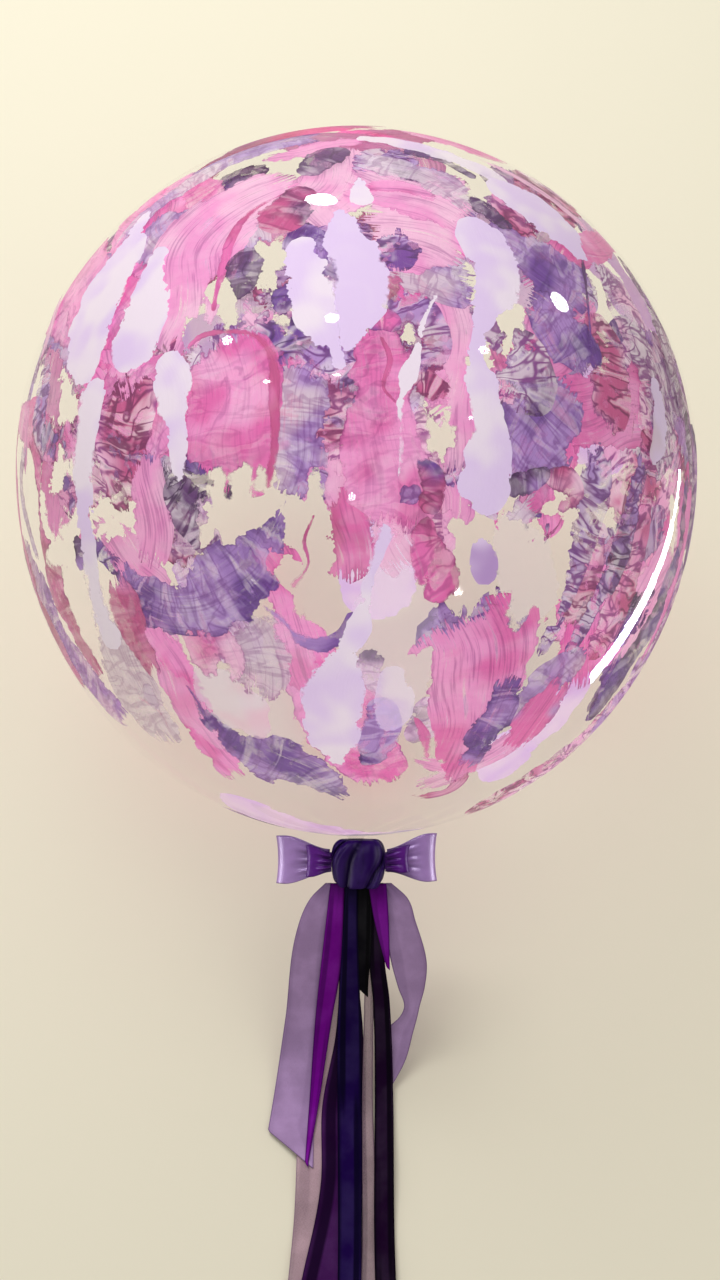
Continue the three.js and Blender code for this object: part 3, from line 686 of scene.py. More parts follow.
def beyond_gaps(direction):
    """Millimetres to the rim of the nearest torn gap as the camera sees it, and below 0 inside one. A rim is
    radius * (1 + 0.3 sin(3 turn + x) + 0.22 sin(5 turn - y)), made taller by GAP_TALLNESS."""
    seen = seen_at(direction)
    nearest = np.full(direction.shape[:-1], np.inf)
    for x, y, radius in TORN_GAPS:
        right, up = seen[..., 0] - x, (seen[..., 1] - y) / GAP_TALLNESS
        turn = np.arctan2(up, right)
        rim = radius * (1 + 0.3 * np.sin(3 * turn + x) + 0.22 * np.sin(5 * turn - y))
        nearest = np.minimum(nearest, np.hypot(right, up) - rim)
    return nearest * RADIUS / 100


def back_strokes(rng):
    """Strokes for the sides and the back, each as far from the earlier ones as its tries allow, running
    mostly from the crown to the neck with a turn, a sway and a width of its own."""
    kinds = ["drip", "fan", "sweep", "press", "dome", "flake"]
    shares = [0.16, 0.22, 0.2, 0.22, 0.12, 0.08]
    tints = {
        "drip": [("lilac", "lavender"), ("lavender", "lilac")],
        "fan": [("pink", "rose"), ("magenta", "pink"), ("crimson", "magenta")],
        "sweep": [("violet", "mauve"), ("violet", "purple"), ("mauve", "lilac")],
        "press": [("mauve", "violet"), ("crimson", "rose"), ("violet", "plum")],
        "dome": [("pink", "magenta"), ("magenta", "crimson")],
        "flake": [("plum", "mauve"), ("plum", "purple")],
    }
    chosen = []
    centres = []
    while len(chosen) < BACK_STROKES:
        tries = unit(rng.normal(size=(BACK_TRIES, 3)))
        tries[:, 1] = np.clip(tries[:, 1], BACK_LOWEST, 1)
        tries[:, 2] = -np.abs(tries[:, 2]) + BACK_FOREMOST
        tries = unit(tries)
        gaps = np.ones(len(tries))
        if centres:
            gaps = np.min(np.linalg.norm(tries[:, None] - np.array(centres)[None], axis=-1), axis=1)
        seen = seen_at(tries)
        for x, y, radius in FRONT_GAPS:
            beside = np.hypot(seen[:, 0] - x, seen[:, 1] - y)
            gaps = np.where(beside < radius + BEHIND_GAP, gaps * BEHIND_GAP_WORTH, gaps)
        centre = tries[int(np.argmax(gaps))]
        centres.append(centre)
        kind = kinds[int(rng.choice(len(kinds), p=shares))]
        pair = tints[kind][int(rng.integers(len(tints[kind])))]
        down = unit(np.array([0.0, -1.0, 0.0]) + centre * centre[1])
        side = np.cross(centre, down)
        turn = rng.normal(0, 0.35)
        heading = down * math.cos(turn) + side * math.sin(turn)
        across = np.cross(centre, heading)
        small = kind == "flake"
        length = rng.uniform(0.14, 0.28) if small else rng.uniform(0.36, 0.78)
        width = rng.uniform(3, 6) if small else rng.uniform(7, 16)
        share = np.linspace(-0.5, 0.5, PATH_POINTS)[:, None]
        sway = rng.uniform(-0.09, 0.09) * np.sin(math.pi * (share + 0.5))
        sway = sway + rng.normal(0, 0.012, (PATH_POINTS, 1))
        path = unit(centre + heading * share * length + across * sway)
        swell = 0.55 + 0.45 * np.sin(math.pi * np.linspace(0.12, 0.9, PATH_POINTS))
        shape = width * swell * rng.uniform(0.8, 1.2, PATH_POINTS)
        opacity = 1.0 if kind in ("drip", "flake") else 0.94
        chosen.append((kind, *pair, opacity, path, shape / 100))
    return chosen


def fill_strokes(rng):
    """Smaller smears under the placed ones on the front, kept out of its clear gaps."""
    tints = {
        "fan": [("pink", "rose"), ("rose", "pink"), ("magenta", "pink")],
        "sweep": [("violet", "mauve"), ("mauve", "lilac"), ("violet", "purple")],
        "press": [("mauve", "violet"), ("crimson", "rose"), ("rose", "mauve"), ("violet", "plum")],
        "dome": [("pink", "magenta")],
    }
    names = list(tints)
    chosen = []
    while len(chosen) < FILL_STROKES:
        x, y = rng.uniform(-96, 96), rng.uniform(-60, 96)
        if math.hypot(x, y) > 97 or rng.uniform() > smoothstep(y, -70, 10) + 0.12:
            continue
        size = rng.uniform(6, 15)
        if any(math.hypot(x - gx, y - gy) < gap + size * 0.75 for gx, gy, gap in FRONT_GAPS):
            continue
        kind = names[int(rng.integers(len(names)))]
        pair = tints[kind][int(rng.integers(len(tints[kind])))]
        turn = rng.normal(0, 0.4) - x / 120
        share = np.linspace(-1, 1, FILL_POINTS)
        length = size * rng.uniform(0.9, 1.7)
        across = x + math.sin(turn) * share * length + size * 0.3 * rng.normal(size=FILL_POINTS)
        half = size * (0.45 + 0.4 * np.cos(share * 1.2)) * rng.uniform(0.8, 1.2, FILL_POINTS)
        points = np.stack([across, y - math.cos(turn) * share * length, half], -1)
        path = directions_of(points)
        chosen.append((kind, *pair, 0.95, path, widths_of(points, path)))
    return chosen


def all_strokes():
    """Front strokes, the smears under them and seeded back strokes, each as (kind, first tint, second tint,
    opacity, directions, half widths in shares of the radius)."""
    made = []
    for *look, rows in FRONT_STROKES:
        rows = np.array(rows, float)
        path = directions_of(rows)
        made.append((*look, path, widths_of(rows, path)))
    made += fill_strokes(np.random.default_rng(FILL_SEED))
    return made + back_strokes(np.random.default_rng(BACK_SEED))


def layers_of(strokes):
    """A stroke lies one layer under every earlier stroke that comes near it."""
    layers = []
    for i, (_, _, _, _, path, half) in enumerate(strokes):
        under = 0
        for j in range(i):
            other, other_half = strokes[j][4], strokes[j][5]
            gap = np.linalg.norm(path[:, None] - other[None], axis=-1)
            reach = (half[:, None] + other_half[None]) * 1.15 + 0.06
            if np.any(gap < reach):
                under = max(under, layers[j] + 1)
        layers.append(under)
    return layers


def stroke_mesh(stroke, layer, number, colours):
    """One smear, in the balloon's curve. Its middle runs along the path, its half width is rounded by
    sqrt(1 - (1 - t)^2) at both ends, and noise makes its sides wander and its ends fringe."""
    kind, first, second, opacity, path, half = stroke
    marks, outline, wander, fray, teeth, roundness, widened = KINDS[kind]
    rng = np.random.default_rng(STROKE_SEED + number)
    steps = np.linalg.norm(np.diff(path, axis=0), axis=1)
    places = np.concatenate([[0], np.cumsum(steps)])
    length = places[-1] * RADIUS
    rows = max(10, int(length / PAINT_CELL))
    columns = max(7, int(2 * half.max() * RADIUS / PAINT_CELL))
    at = np.linspace(0, places[-1], rows)
    middle = unit(smooth_through(places, path, at))
    width = np.maximum(smooth_through(places, half, at), half.min() * 0.5) * RADIUS * widened
    along = at * RADIUS
    end = np.minimum(roundness * width, length / 2)
    near_start = np.clip(along / np.maximum(end, 1), 0, 1)
    near_end = np.clip((length - along) / np.maximum(end, 1), 0, 1)
    rounding = np.sqrt(1 - (1 - near_start) ** 2) * np.sqrt(1 - (1 - near_end) ** 2)
    widest = float(half.max()) * RADIUS
    wander = min(wander, widest * 0.38)
    calm = np.minimum(1, rounding * 1.5)
    left, right = (
        np.maximum(
            width * rounding + wander * ripple(rng, along, WANDER_PERIOD, 4) * calm, LEAST_HALF_WIDTH
        )
        for _ in range(2)
    )
    heading = unit(np.gradient(middle, axis=0))
    across = unit(np.cross(middle, heading))
    v = np.linspace(-1, 1, columns)
    offset = np.where(v[None] < 0, v[None] * left[:, None], v[None] * right[:, None])
    fringe = np.zeros_like(offset)
    if roundness < 1:
        bristles = ripple(rng, v * width.max(), BRISTLE_PERIOD, 3) * (1 - roundness) * BRISTLE_LENGTH
        share = along / length
        fringe = (smoothstep(share, 0.55, 1) - smoothstep(share, 0.45, 0))[:, None] * bristles[None]
    aside = across[:, None] * (offset / RADIUS)[..., None]
    onwards = heading[:, None] * (fringe / RADIUS)[..., None]
    direction = unit(middle[:, None] + aside + onwards)
    depth = FIRST_LAYER + layer * LAYER_STEP
    points = to_world(on_film(direction, depth))
    points[..., 2] = np.maximum(points[..., 2], depth)
    side = np.where(v[None] < 0, offset + left[:, None], right[:, None] - offset)
    if kind in TORN_KINDS:
        side = np.minimum(side, beyond_gaps(direction))
    ends = np.minimum(along, length - along)[:, None] + (0 if roundness < 1 else SPARED_END)
    ends = np.broadcast_to(ends, side.shape)
    shift = rng.uniform(0, 40, 2)
    uv = np.stack(np.broadcast_arrays(along[:, None] / 100 + shift[0], offset / 100 + shift[1]), -1)
    size = rows * columns
    wear = (np.full(size, min(fray, widest * 0.6)), np.full(size, min(teeth, length * 0.16)))
    values = {
        "tint": np.tile(colours[first], (size, 1)),
        "second": np.tile(colours[second], (size, 1)),
        "marks": np.tile(marks, (size, 1)),
        "edge": np.stack([side.ravel(), np.full(size, outline), np.full(size, opacity)], -1),
        "wear": np.stack([ends.ravel(), *wear], -1),
    }
    return points.reshape(-1, 3), grid_faces(rows, columns), uv.reshape(-1, 2), values


# Bow


def knot_side(depth):
    """Half width of the knot's superellipse outline at a depth in front of or behind its middle."""
    share = min(1.0, abs(depth - KNOT_FORWARD) / (KNOT_DEPTH / 2))
    return KNOT_WIDTH / 2 * (1 - share**KNOT_SQUARENESS) ** (1 / KNOT_SQUARENESS)


# Loops: side, reach, depth and forward place, height at the root and at the fold, and rise of the fold
LOOPS = {
    "bow_loop_left": (-1, 44, 19, 4, 19, 39, 1),
    "bow_loop_right": (1, 41, 19, 4, 19, 39, 3),
    "inner_loop_left": (-1, 21, 9, 19, 16, 26, 1),
    "inner_loop_right": (1, 20, 9, 19, 16, 22, 3),
}
# Organza points: side, reach, forward place, height at the root and rise of the tip
POINTS = {"organza_point_left": (-1, 42, -8.5, 12, 9), "organza_point_right": (1, 38, -8.5, 12, 9)}


def surface(x, y, z, along, half, v, painted_shade):
    """Points, UVs in tenths of a metre, and edge: millimetres to the selvage and share of painted shade."""
    points = np.stack(np.broadcast_arrays(x, y, z), -1)
    uv = np.stack(np.broadcast_arrays(along / 100, v * half / 100), -1)
    edge = np.stack(np.broadcast_arrays((1 - np.abs(v)) * half, painted_shade, 0 * half), -1)
    return points, uv, edge


def loop_points(side, reach, depth, forward, root, fold, rise):
    """Ribbon band that leaves the knot, folds back and returns. Seen along the axis its path is a drop,
    out (1 - cos t) / 2 and forward sin t times a swell that grows from 0.34 at the knot to 1 at the fold.
    Its half height grows smoothly from the knot to the fold, and soft folds run out from the knot. Shade is
    painted into it, darker near the knot and in the troughs of the folds."""
    stations, across = LOOP_CELLS
    turn = np.linspace(0, 2 * math.pi, stations, endpoint=False)[:, None]
    v = np.linspace(-1, 1, across)[None]
    out = (1 - np.cos(turn)) / 2
    swell = 0.34 + 0.66 * np.sin(turn / 2) ** 2
    start = KNOT_SHIFT + side * (knot_side(forward) + CLEARANCE + RIBBON_THICKNESS / 2)
    front = np.sign(np.sin(turn))
    half = (root + (fold - root) * smoothstep(out, 0, 0.85)) / 2
    wave = np.cos(v * 3.4 * math.pi + 0.6 * side)
    folds = wave * 1.1 + 0.6 * np.cos(v * 7.1 * math.pi)
    crumple = smoothstep(out, 0.75, 0.05) * smoothstep(out, 0.0, 0.12)
    dent = 0.8 * np.exp(-(((out - 0.55) / 0.2) ** 2)) * np.cos(v * 1.7 + 0.5)
    z = forward + depth / 2 * np.sin(turn) * swell + front * (crumple * folds - dent)
    x = start + side * (reach * out - 1.6 * (1 - v**2) * smoothstep(out, 0.6, 1))
    y = KNOT_MIDDLE + rise * out + v * half
    middle = np.stack(np.broadcast_arrays(x, y, z), -1)[:, across // 2]
    path = np.cumsum(np.linalg.norm(np.diff(middle, axis=0, prepend=middle[:1]), axis=1))[:, None]
    # Painted shade: darker where the loop goes into the knot and in the troughs of its folds
    painted_shade = 0.75 * smoothstep(out, 0.62, 0.02) + 0.3 * smoothstep(wave, 0.2, -1)
    painted_shade = np.clip(painted_shade * smoothstep(out, 0.95, 0.3), 0, 0.85)
    return surface(x, y, z, path, half, v, painted_shade)


def point_points(side, reach, forward, root, rise):
    """Leaf of organza: its half height root / 2 (0.6 + 1.3 out)(1 - out^3) swells and closes to a tip, and
    it is lightly cupped."""
    stations, across = POINT_CELLS
    out = np.linspace(0, 1, stations)[:, None]
    v = np.linspace(-1, 1, across)[None]
    start = KNOT_SHIFT + side * (knot_side(forward) + CLEARANCE)
    half = root / 2 * (0.6 + 1.3 * out) * (1 - out**3) + 0.3
    x = start + side * reach * out
    y = KNOT_MIDDLE + rise * out + v * half
    z = forward - 2 * np.sin(out * math.pi) + 0.9 * np.cos(v * 4 + out * 3)
    return surface(x, y, z, out * reach, half, v, 0 * half)


def knot_points():
    """Wrapped knot: superellipse rings |x / a|^p + |z / b|^p = 1 with p = KNOT_SQUARENESS, closed at both
    ends. Soft folds slant round it, evenly by the length of the ring, and at the front its lower edge
    hangs down as a lip over the tops of the tails."""
    levels, around = KNOT_CELLS
    level = np.linspace(1, -1, levels)[:, None]
    turn = np.linspace(0, 2 * math.pi, around, endpoint=False)[None]
    rounding = 5.0 * (1 - np.sqrt(np.clip(1 - np.abs(level) ** 5, 0, 1))) * np.where(level < 0, 0.4, 1)
    barrel = 2.2 * level**2
    c, s = np.cos(turn), np.sin(turn)
    power = 2 / KNOT_SQUARENESS
    square_x = np.sign(c) * np.abs(c) ** power
    square_z = np.sign(s) * np.abs(s) ** power
    bare = np.stack([square_x * KNOT_WIDTH, square_z * KNOT_DEPTH], -1)[0]
    steps = np.linalg.norm(np.diff(bare, axis=0, append=bare[:1]), axis=1)
    round_share = 2 * math.pi * (np.cumsum(steps) - steps)[None] / steps.sum()
    lean = round_share + 0.5 * level + 0.16 * np.sin(2 * round_share + 2.4 * level)
    ridge = np.abs(np.sin(3 * lean + 0.9))
    small = np.abs(np.sin(8 * lean - 1.2 * level + 1))
    folds = 4.6 * (ridge**0.6 - 0.95) + 0.6 * (small**0.8 - 0.8)
    x = KNOT_SHIFT + square_x * (KNOT_WIDTH / 2 - 0.6 - rounding - barrel + 0.5 * folds)
    z = KNOT_FORWARD + square_z * (KNOT_DEPTH / 2 - 1.6 - rounding + folds)
    lip = KNOT_LIP * smoothstep(z, LIP_CLEAR, LIP_CLEAR + 4) * smoothstep(-level, 0.45, 1)
    y = KNOT_MIDDLE + level * KNOT_HEIGHT / 2 - lip
    ring = np.stack(np.broadcast_arrays(x, y, z), -1)
    caps = []
    for row, face in ((ring[0], KNOT_TOP), (ring[-1], KNOT_BOTTOM)):
        inner = np.stack([np.cos(turn[0]) * 7.2, np.full(around, face), np.sin(turn[0]) * 7.2], -1)
        under = np.stack([row[:, 0], np.full(around, face), np.minimum(row[:, 2], LIP_CLEAR)], -1)
        caps.append(np.stack([inner, inner * 0.4 + under * 0.6, under]))
    points = np.concatenate([caps[0], ring, caps[1][::-1]])
    uv = np.stack(np.broadcast_arrays(turn * 0.2, points[..., 1] / 100), -1)
    # Painted shade: the colour is darkened in the creases between the folds, and the caps copy it from the
    # rows beside them
    painted_shade = np.clip(0.8 * smoothstep(ridge, 0.55, 0.05) + 0.35 * smoothstep(small, 0.5, 0), 0, 0.9)
    painted_shade = np.concatenate([painted_shade[[0, 0, 0]], painted_shade, painted_shade[[-1, -1, -1]]])
    edge = np.stack([np.full(painted_shade.shape, 9.0), painted_shade, 0 * painted_shade], -1)
    return points, uv, edge


# Tails: slant of the cut end, then (distance along, left edge, right edge) in millimetres, lowest first
TAILS = {
    "tail_mauve_organza": (14, [(0, -16, -3), (60, -34, -8), (190, -47, -14), (300, -51, -16),
                                (455, -66, -30)]),
    "tail_lilac_left": (33, [(0, -25, -13), (12, -37, -15), (37, -48, -19), (121, -59, -24),
                             (218, -73, -35)]),
    "tail_dark_purple": (20, [(0, -11, -1), (60, -13, 0), (135, -17, 6), (195, -28, 7), (265, -29, 6),
                              (337, -42, -6), (470, -72, -36)]),
    "tail_violet_left": (4, [(0, -21, -9), (70, -29, -12), (121, -34, -20), (195, -39, -31),
                             (247, -42, -39)]),
    "tail_grey_organza": (6, [(0, 8, 17), (95, 7, 15), (200, 5, 14), (309, 5, 18), (430, 0, 13)]),
    "tail_lilac_right": (-8, [(0, 17, 29), (12, 20, 42), (32, 23, 49), (69, 29, 58.5), (93, 35, 57),
                              (110, 40, 53), (120, 36, 51), (132, 24, 48), (158, 21, 41), (182, 20, 28)]),
    "tail_maroon": (12, [(0, 12, 22), (70, 11, 24), (104, 14, 28), (361, 16, 33), (500, 27, 44)]),
    "tail_navy": (8, [(0, 1, 13), (40, 0, 13), (92, 2, 10)]),
    "tail_indigo_centre": (16, [(0, -9, 1), (60, -12, 2), (121, -15, 4), (361, -15, 4), (520, -22, -3)]),
    "tail_violet_short": (3, [(0, 10, 25), (30, 15, 27), (72, 25, 28)]),
}


def tail_edges(name, at):
    """Left and right edge of a tail at distances along it."""
    rows = np.array(TAILS[name][1], float)
    return smooth_through(rows[:, 0], rows[:, 1], at), smooth_through(rows[:, 0], rows[:, 2], at)


def drape_path(length):
    """Places and upward normals every TAIL_STEP along the ribbons: a cubic Bezier from the knot down to the
    floor, then low waves on it. Normals are the tangent turned a quarter about X."""
    start = to_world([0, KNOT_BOTTOM - CLEARANCE, TAIL_FORWARD])
    down = np.array([0, -math.cos(LEAN), -math.sin(LEAN)])
    landed = np.array([0, start[1] - DROP_REACH, 0])
    corners = [start, start + down * DROP_OUT, landed + np.array([0, LANDING, 0]), landed]
    t = np.linspace(0, 1, 15)[:, None]
    drop = (
        (1 - t) ** 3 * corners[0]
        + 3 * t * (1 - t) ** 2 * corners[1]
        + 3 * t**2 * (1 - t) * corners[2]
        + t**3 * corners[3]
    )
    out = np.arange(WAVE_LENGTH / 8, length, WAVE_LENGTH / 8)
    wave = WAVE_HEIGHT * (1 - np.cos(2 * math.pi * out / WAVE_LENGTH)) / 2
    flat = np.stack([0 * out, landed[1] - out, wave], -1)
    knots = np.concatenate([drop, flat])
    fine = smooth_through(np.arange(len(knots)), knots, np.linspace(0, len(knots) - 1, 4000))
    run = np.concatenate([[0], np.cumsum(np.linalg.norm(np.diff(fine, axis=0), axis=1))])
    at = np.arange(0, min(run[-1], length + 2 * TAIL_STEP), TAIL_STEP)
    places = np.stack([np.interp(at, run, fine[:, k]) for k in range(3)], -1)
    tangent = np.gradient(fine, run, axis=0)
    slope = np.stack([np.interp(at, run, tangent[:, k]) for k in range(3)], -1)
    normals = unit(np.stack([0 * at, slope[:, 2], -slope[:, 1]], -1))
    return places, normals


def lay_tails():
    """Lift of each tail at each section: one layer above the highest ribbon that it crosses below."""
    ends = {name: rows[-1][0] + abs(cut) for name, (cut, rows) in TAILS.items()}
    sections = math.ceil(max(ends.values()) / TAIL_STEP) + 2
    near = (np.arange(sections)[:, None] + np.array([-0.5, 0, 0.5])) * TAIL_STEP
    lifts = {}
    for name in TAILS:
        left, right = tail_edges(name, near)
        least = np.zeros(sections)
        for other, lift in lifts.items():
            other_left, other_right = tail_edges(other, near)
            meets = (near <= ends[other] + TAIL_STEP) & (left < other_right + SIDE_MARGIN)
            meets &= other_left < right + SIDE_MARGIN
            above = np.maximum(least, lift + RIBBON_THICKNESS + LAYER_GAP)
            least = np.where(meets.any(axis=1), above, least)
        padded = np.pad(least, 1, mode="edge")
        highest = np.maximum(np.maximum(padded[:-2], padded[1:-1]), padded[2:])
        padded = np.pad(highest, 1, mode="edge")
        lifts[name] = (padded[:-2] + padded[1:-1] + padded[2:]) / 3
    return lifts


def tail_points(name, lift, places, normals, painted_fold_shade):
    """A tail's sheet: straight across between its edges, down to a slanting cut, with pleats at the knot and
    creases lower than the gap between layers, and shade painted in lengthwise bands and darker just under
    the knot. Its area in square metres and its length are also given."""
    cut, rows = TAILS[name]
    length = rows[-1][0]
    end = length + abs(cut)
    s = np.linspace(0, end, int(end / TAIL_CELL))
    left, right = tail_edges(name, s)
    gone = (right - left) * np.clip(s - length, 0, None) * 0.97 / (end - length)
    left = left + (gone if cut > 0 else 0)
    right = right - (gone if cut < 0 else 0)
    v = np.linspace(-1, 1, TAIL_ACROSS)[None]
    x = (left + right)[:, None] / 2 + v * (right - left)[:, None] / 2
    k = np.clip((s / TAIL_STEP).astype(int), 0, len(places) - 2)
    t = (s / TAIL_STEP - k)[:, None]
    middle = places[k] * (1 - t) + places[k + 1] * t
    normal = unit(normals[k] * (1 - t) + normals[k + 1] * t)
    height = (lift[k] * (1 - t[:, 0]) + lift[k + 1] * t[:, 0] + RIBBON_THICKNESS / 2)[:, None]
    pleat = smoothstep(s, 45, 0)[:, None] * 0.35 * np.cos(v * 9)
    crease = 0.22 * np.cos(v * 2.4 + s[:, None] / 37) + 0.12 * np.sin(s[:, None] / 11 + v * 3)
    height = height + np.maximum(pleat + crease, -0.3)
    points = middle[:, None] * [0, 1, 1] + normal[:, None] * height[..., None]
    half = ((right - left) / 2)[:, None]
    drift = 0.9 * np.sin(s[:, None] / 83 + rows[0][1]) + 0.4 * np.sin(s[:, None] / 31 + rows[0][2])
    # Painted shade: dark lengthwise bands where folds would be shaded, and darker within 26 mm under the
    # knot
    painted_shade = painted_fold_shade * smoothstep(np.cos(v * 3.6 + drift) + 0.5 * np.cos(v * 8.3 - drift * 1.4), 0.1, -0.7)
    painted_shade = np.maximum(painted_shade, (0.3 + 0.6 * painted_fold_shade) * smoothstep(s, 26, 0)[:, None])
    area = float(np.trapz(right - left, s)) * MM * MM
    return *surface(x, points[..., 1], points[..., 2], s[:, None], half, v, painted_shade), area, end


# Colours and settings that a user would change


def colour_property(name, value, description):
    return bpy.props.FloatVectorProperty(
        name=name, description=description, default=value, size=3, min=0, max=1, subtype="COLOR"
    )


def number_property(name, value, description, **limits):
    return bpy.props.FloatProperty(name=name, description=description, default=value, **limits)


class BalloonFilmSettings(bpy.types.PropertyGroup):
    film_alpha: number_property(
        "Film opacity", 0.085, "How much the clear film veils", min=0, max=1, subtype="FACTOR"
    )
    film_ior: number_property(
        "Film index", 1.7, "Index of refraction, which sets how glossy it is", min=1, max=3
    )
    film_rings: bpy.props.IntProperty(
        name="Film rings", description="Rings of faces from neck to crown", default=170, min=40, max=300
    )


class BalloonPaintSettings(bpy.types.PropertyGroup):
    pink: colour_property("Pink", (0.91, 0.33, 0.67), "Broad pink fans")
    rose: colour_property("Rose", (0.93, 0.52, 0.76), "Paler pink washes")
    magenta: colour_property("Magenta", (0.8, 0.14, 0.46), "Deep pink pools")
    crimson: colour_property("Crimson", (0.58, 0.08, 0.27), "Dark pink veins")
    violet: colour_property("Violet", (0.44, 0.25, 0.63), "Violet smears")
    purple: colour_property("Purple", (0.15, 0.04, 0.33), "Darkest violet")
    plum: colour_property("Plum", (0.12, 0.03, 0.17), "Dark flakes")
    mauve: colour_property("Mauve", (0.7, 0.55, 0.69), "Grey-violet pressed areas")
    lilac: colour_property("Lilac", (0.78, 0.62, 0.93), "Opaque lilac drips")
    lavender: colour_property("Lavender", (0.88, 0.78, 0.92), "Palest drips")


class BalloonRibbonSettings(bpy.types.PropertyGroup):
    loop_ribbon: colour_property("Lilac bow satin", (0.38, 0.22, 0.56), "Bow loops")
    lilac_ribbon: colour_property("Lilac satin", (0.38, 0.25, 0.47), "Two broad tails")
    violet_ribbon: colour_property("Violet satin", (0.17, 0.001, 0.27), "Violet tails")
    inner_ribbon: colour_property("Violet bow satin", (0.085, 0.001, 0.2), "Inner loops")
    knot_ribbon: colour_property("Knot satin", (0.017, 0.0005, 0.075), "Knot")
    purple_ribbon: colour_property("Purple satin", (0.042, 0.004, 0.072), "Dark purple tail")
    indigo_ribbon: colour_property("Indigo satin", (0.009, 0.0002, 0.055), "Middle tail")
    navy_ribbon: colour_property("Navy satin", (0.0008, 0.0002, 0.003), "Short dark tail")
    maroon_ribbon: colour_property("Maroon satin", (0.01, 0.0003, 0.018), "Right dark tail")
    mauve_ribbon: colour_property("Mauve organza", (0.52, 0.36, 0.43), "Left sheer tail and points")
    grey_ribbon: colour_property("Grey organza", (0.36, 0.26, 0.3), "Middle sheer tail")
    ribbon_wall: number_property(
        "Ribbon thickness", 0.0003, "Thickness of the satin", min=0.0001, unit="LENGTH"
    )


class BalloonStageSettings(bpy.types.PropertyGroup):
    floor_colour: colour_property("Floor", (0.84, 0.81, 0.665), "Plain cream floor")
    camera_distance: number_property(
        "Camera distance", 2.4, "From the balloon's middle", min=1, unit="LENGTH"
    )
    lens: number_property("Lens", 81.8, "Focal length in millimetres", min=20)
    key_power: number_property("Key power", 52, "Large soft lamp, in watts", min=0)
    fill_power: number_property("Fill power", 7, "Soft lamp opposite, in watts", min=0)


def colours_of(group, names):
    return {name: np.array(getattr(group, name)[:]) for name in names}


def solidify(piece, thickness):
    """Gives an open sheet its thickness, half on each side."""
    wall = piece.modifiers.new("thickness", "SOLIDIFY")
    wall.thickness = thickness
    wall.offset = 0


def area_lamp(name, place, target, size, power, tint=(1, 1, 1), shape="RECTANGLE", upright=(0, 1, 0.01)):
    """Area lamp at a place in metres, turned to the target, with its height along the upright direction."""
    data = bpy.data.lights.new(name, "AREA")
    data.shape = shape
    data.size, data.size_y = size
    data.energy = power
    data.color = tint
    lamp = bpy.data.objects.new(name, data)
    bpy.context.scene.collection.objects.link(lamp)
    lamp.location = place
    back = unit(np.array(place, float) - np.array(target, float))
    side = unit(np.cross(upright, back))
    turned = np.stack([side, np.cross(back, side), back], -1)
    lamp.rotation_mode = "QUATERNION"
    lamp.rotation_quaternion = Matrix(turned.tolist()).to_quaternion()
    lamp.visible_camera = False
    return lamp


# The floor's half side and its height, in millimetres. It lies just under the resting spot
FLOOR_REACH = 9000
FLOOR_DROP = -1


class BALLOON_OT_stage(bpy.types.Operator):
    """Plain floor, soft studio light and the camera"""

    bl_idname = "balloon.stage"
    bl_label = "Stage"

    def execute(self, context):
        settings = context.scene.balloon_stage
        scene = context.scene
        scene.view_settings.view_transform = "Standard"
        scene.cycles.transparent_max_bounces = 48
        n = Nodes("floor_plain")
        coords = n.add("ShaderNodeTexCoord").outputs["Object"]
        tone = n.noise(coords, 2.0, 2.0)
        base = rgba(settings.floor_colour)
        paler = rgba([min(1, c * 1.03) for c in settings.floor_colour])
        n.put(n.shader.inputs["Base Color"], n.mix(tone, base, paler))
        n.put(n.shader.inputs["Roughness"], 0.9)
        n.put(n.shader.inputs["Specular IOR Level"], 0.1)
        corners = np.array([[-1, -1], [1, -1], [1, 1], [-1, 1]]) * FLOOR_REACH
        corners = np.column_stack([corners, np.full(4, FLOOR_DROP)])
        floor = make_mesh("floor", corners, [[0, 1, 2, 3]], n.material)

        data = bpy.data.cameras.new("camera")
        data.lens = settings.lens
        data.sensor_width = 36
        data.clip_end = 50
        camera = bpy.data.objects.new("camera", data)
        scene.collection.objects.link(camera)
        centre = [*CAMERA_PLACE[:2], settings.camera_distance / MM]
        camera.location = to_world(centre) * MM
        camera.rotation_euler = (LEAN, 0, 0)
        scene.camera = camera

        world = bpy.data.worlds.new("soft_room")
        world.use_nodes = True
        background = world.node_tree.nodes["Background"]
        background.inputs["Color"].default_value = (1.0, 0.965, 0.91, 1)
        background.inputs["Strength"].default_value = 0.47
        scene.world = world
        middle = (0, 0, 0.28)
        key = area_lamp("key", (-0.8, 1.5, 2.3), middle, (1.6, 1.6), settings.key_power, (1, 0.985, 0.95))
        fill = area_lamp("fill", (1.5, -1.7, 2.4), middle, (2.2, 2.2), settings.fill_power, (1, 0.97, 0.93))
        key.visible_glossy = False
        fill.visible_glossy = False
        return {"FINISHED"}


# Where the small lamps shine on the film, in hundredths of the seen radius, their width and height in
# metres and their power in watts
HIGHLIGHTS = [
    (-10.2, 79.8, 0.2, 0.3, 20),
    (-7, 45, 0.15, 0.12, 8),
    (-37.7, 38.6, 0.13, 0.11, 7),
    (59.6, 49.7, 0.22, 0.2, 10),
    (37.4, 35.7, 0.12, 0.1, 6),
    (-26, 26.6, 0.09, 0.045, 2.5),
    (-5.6, 28.4, 0.08, 0.035, 2),
    (33.6, 15.8, 0.06, 0.035, 1.5),
    (-1.2, -7.3, 0.09, 0.09, 1.2),
]
# Window streak down the right rim: places in hundredths of the seen radius, and its width in metres there
STREAK = [(94.8, 1, 0.012), (92.6, -15, 0.022), (87.4, -31, 0.036), (80, -45, 0.045), (68.5, -60.5, 0.04)]
STREAK_TINTS = [(1, 1, 1), (1, 1, 1), (0.86, 0.9, 1), (0.6, 0.68, 1)]
STREAK_DISTANCE = 0.4
STREAK_RADIANCE = 150
LAMP_DISTANCE = 2.0


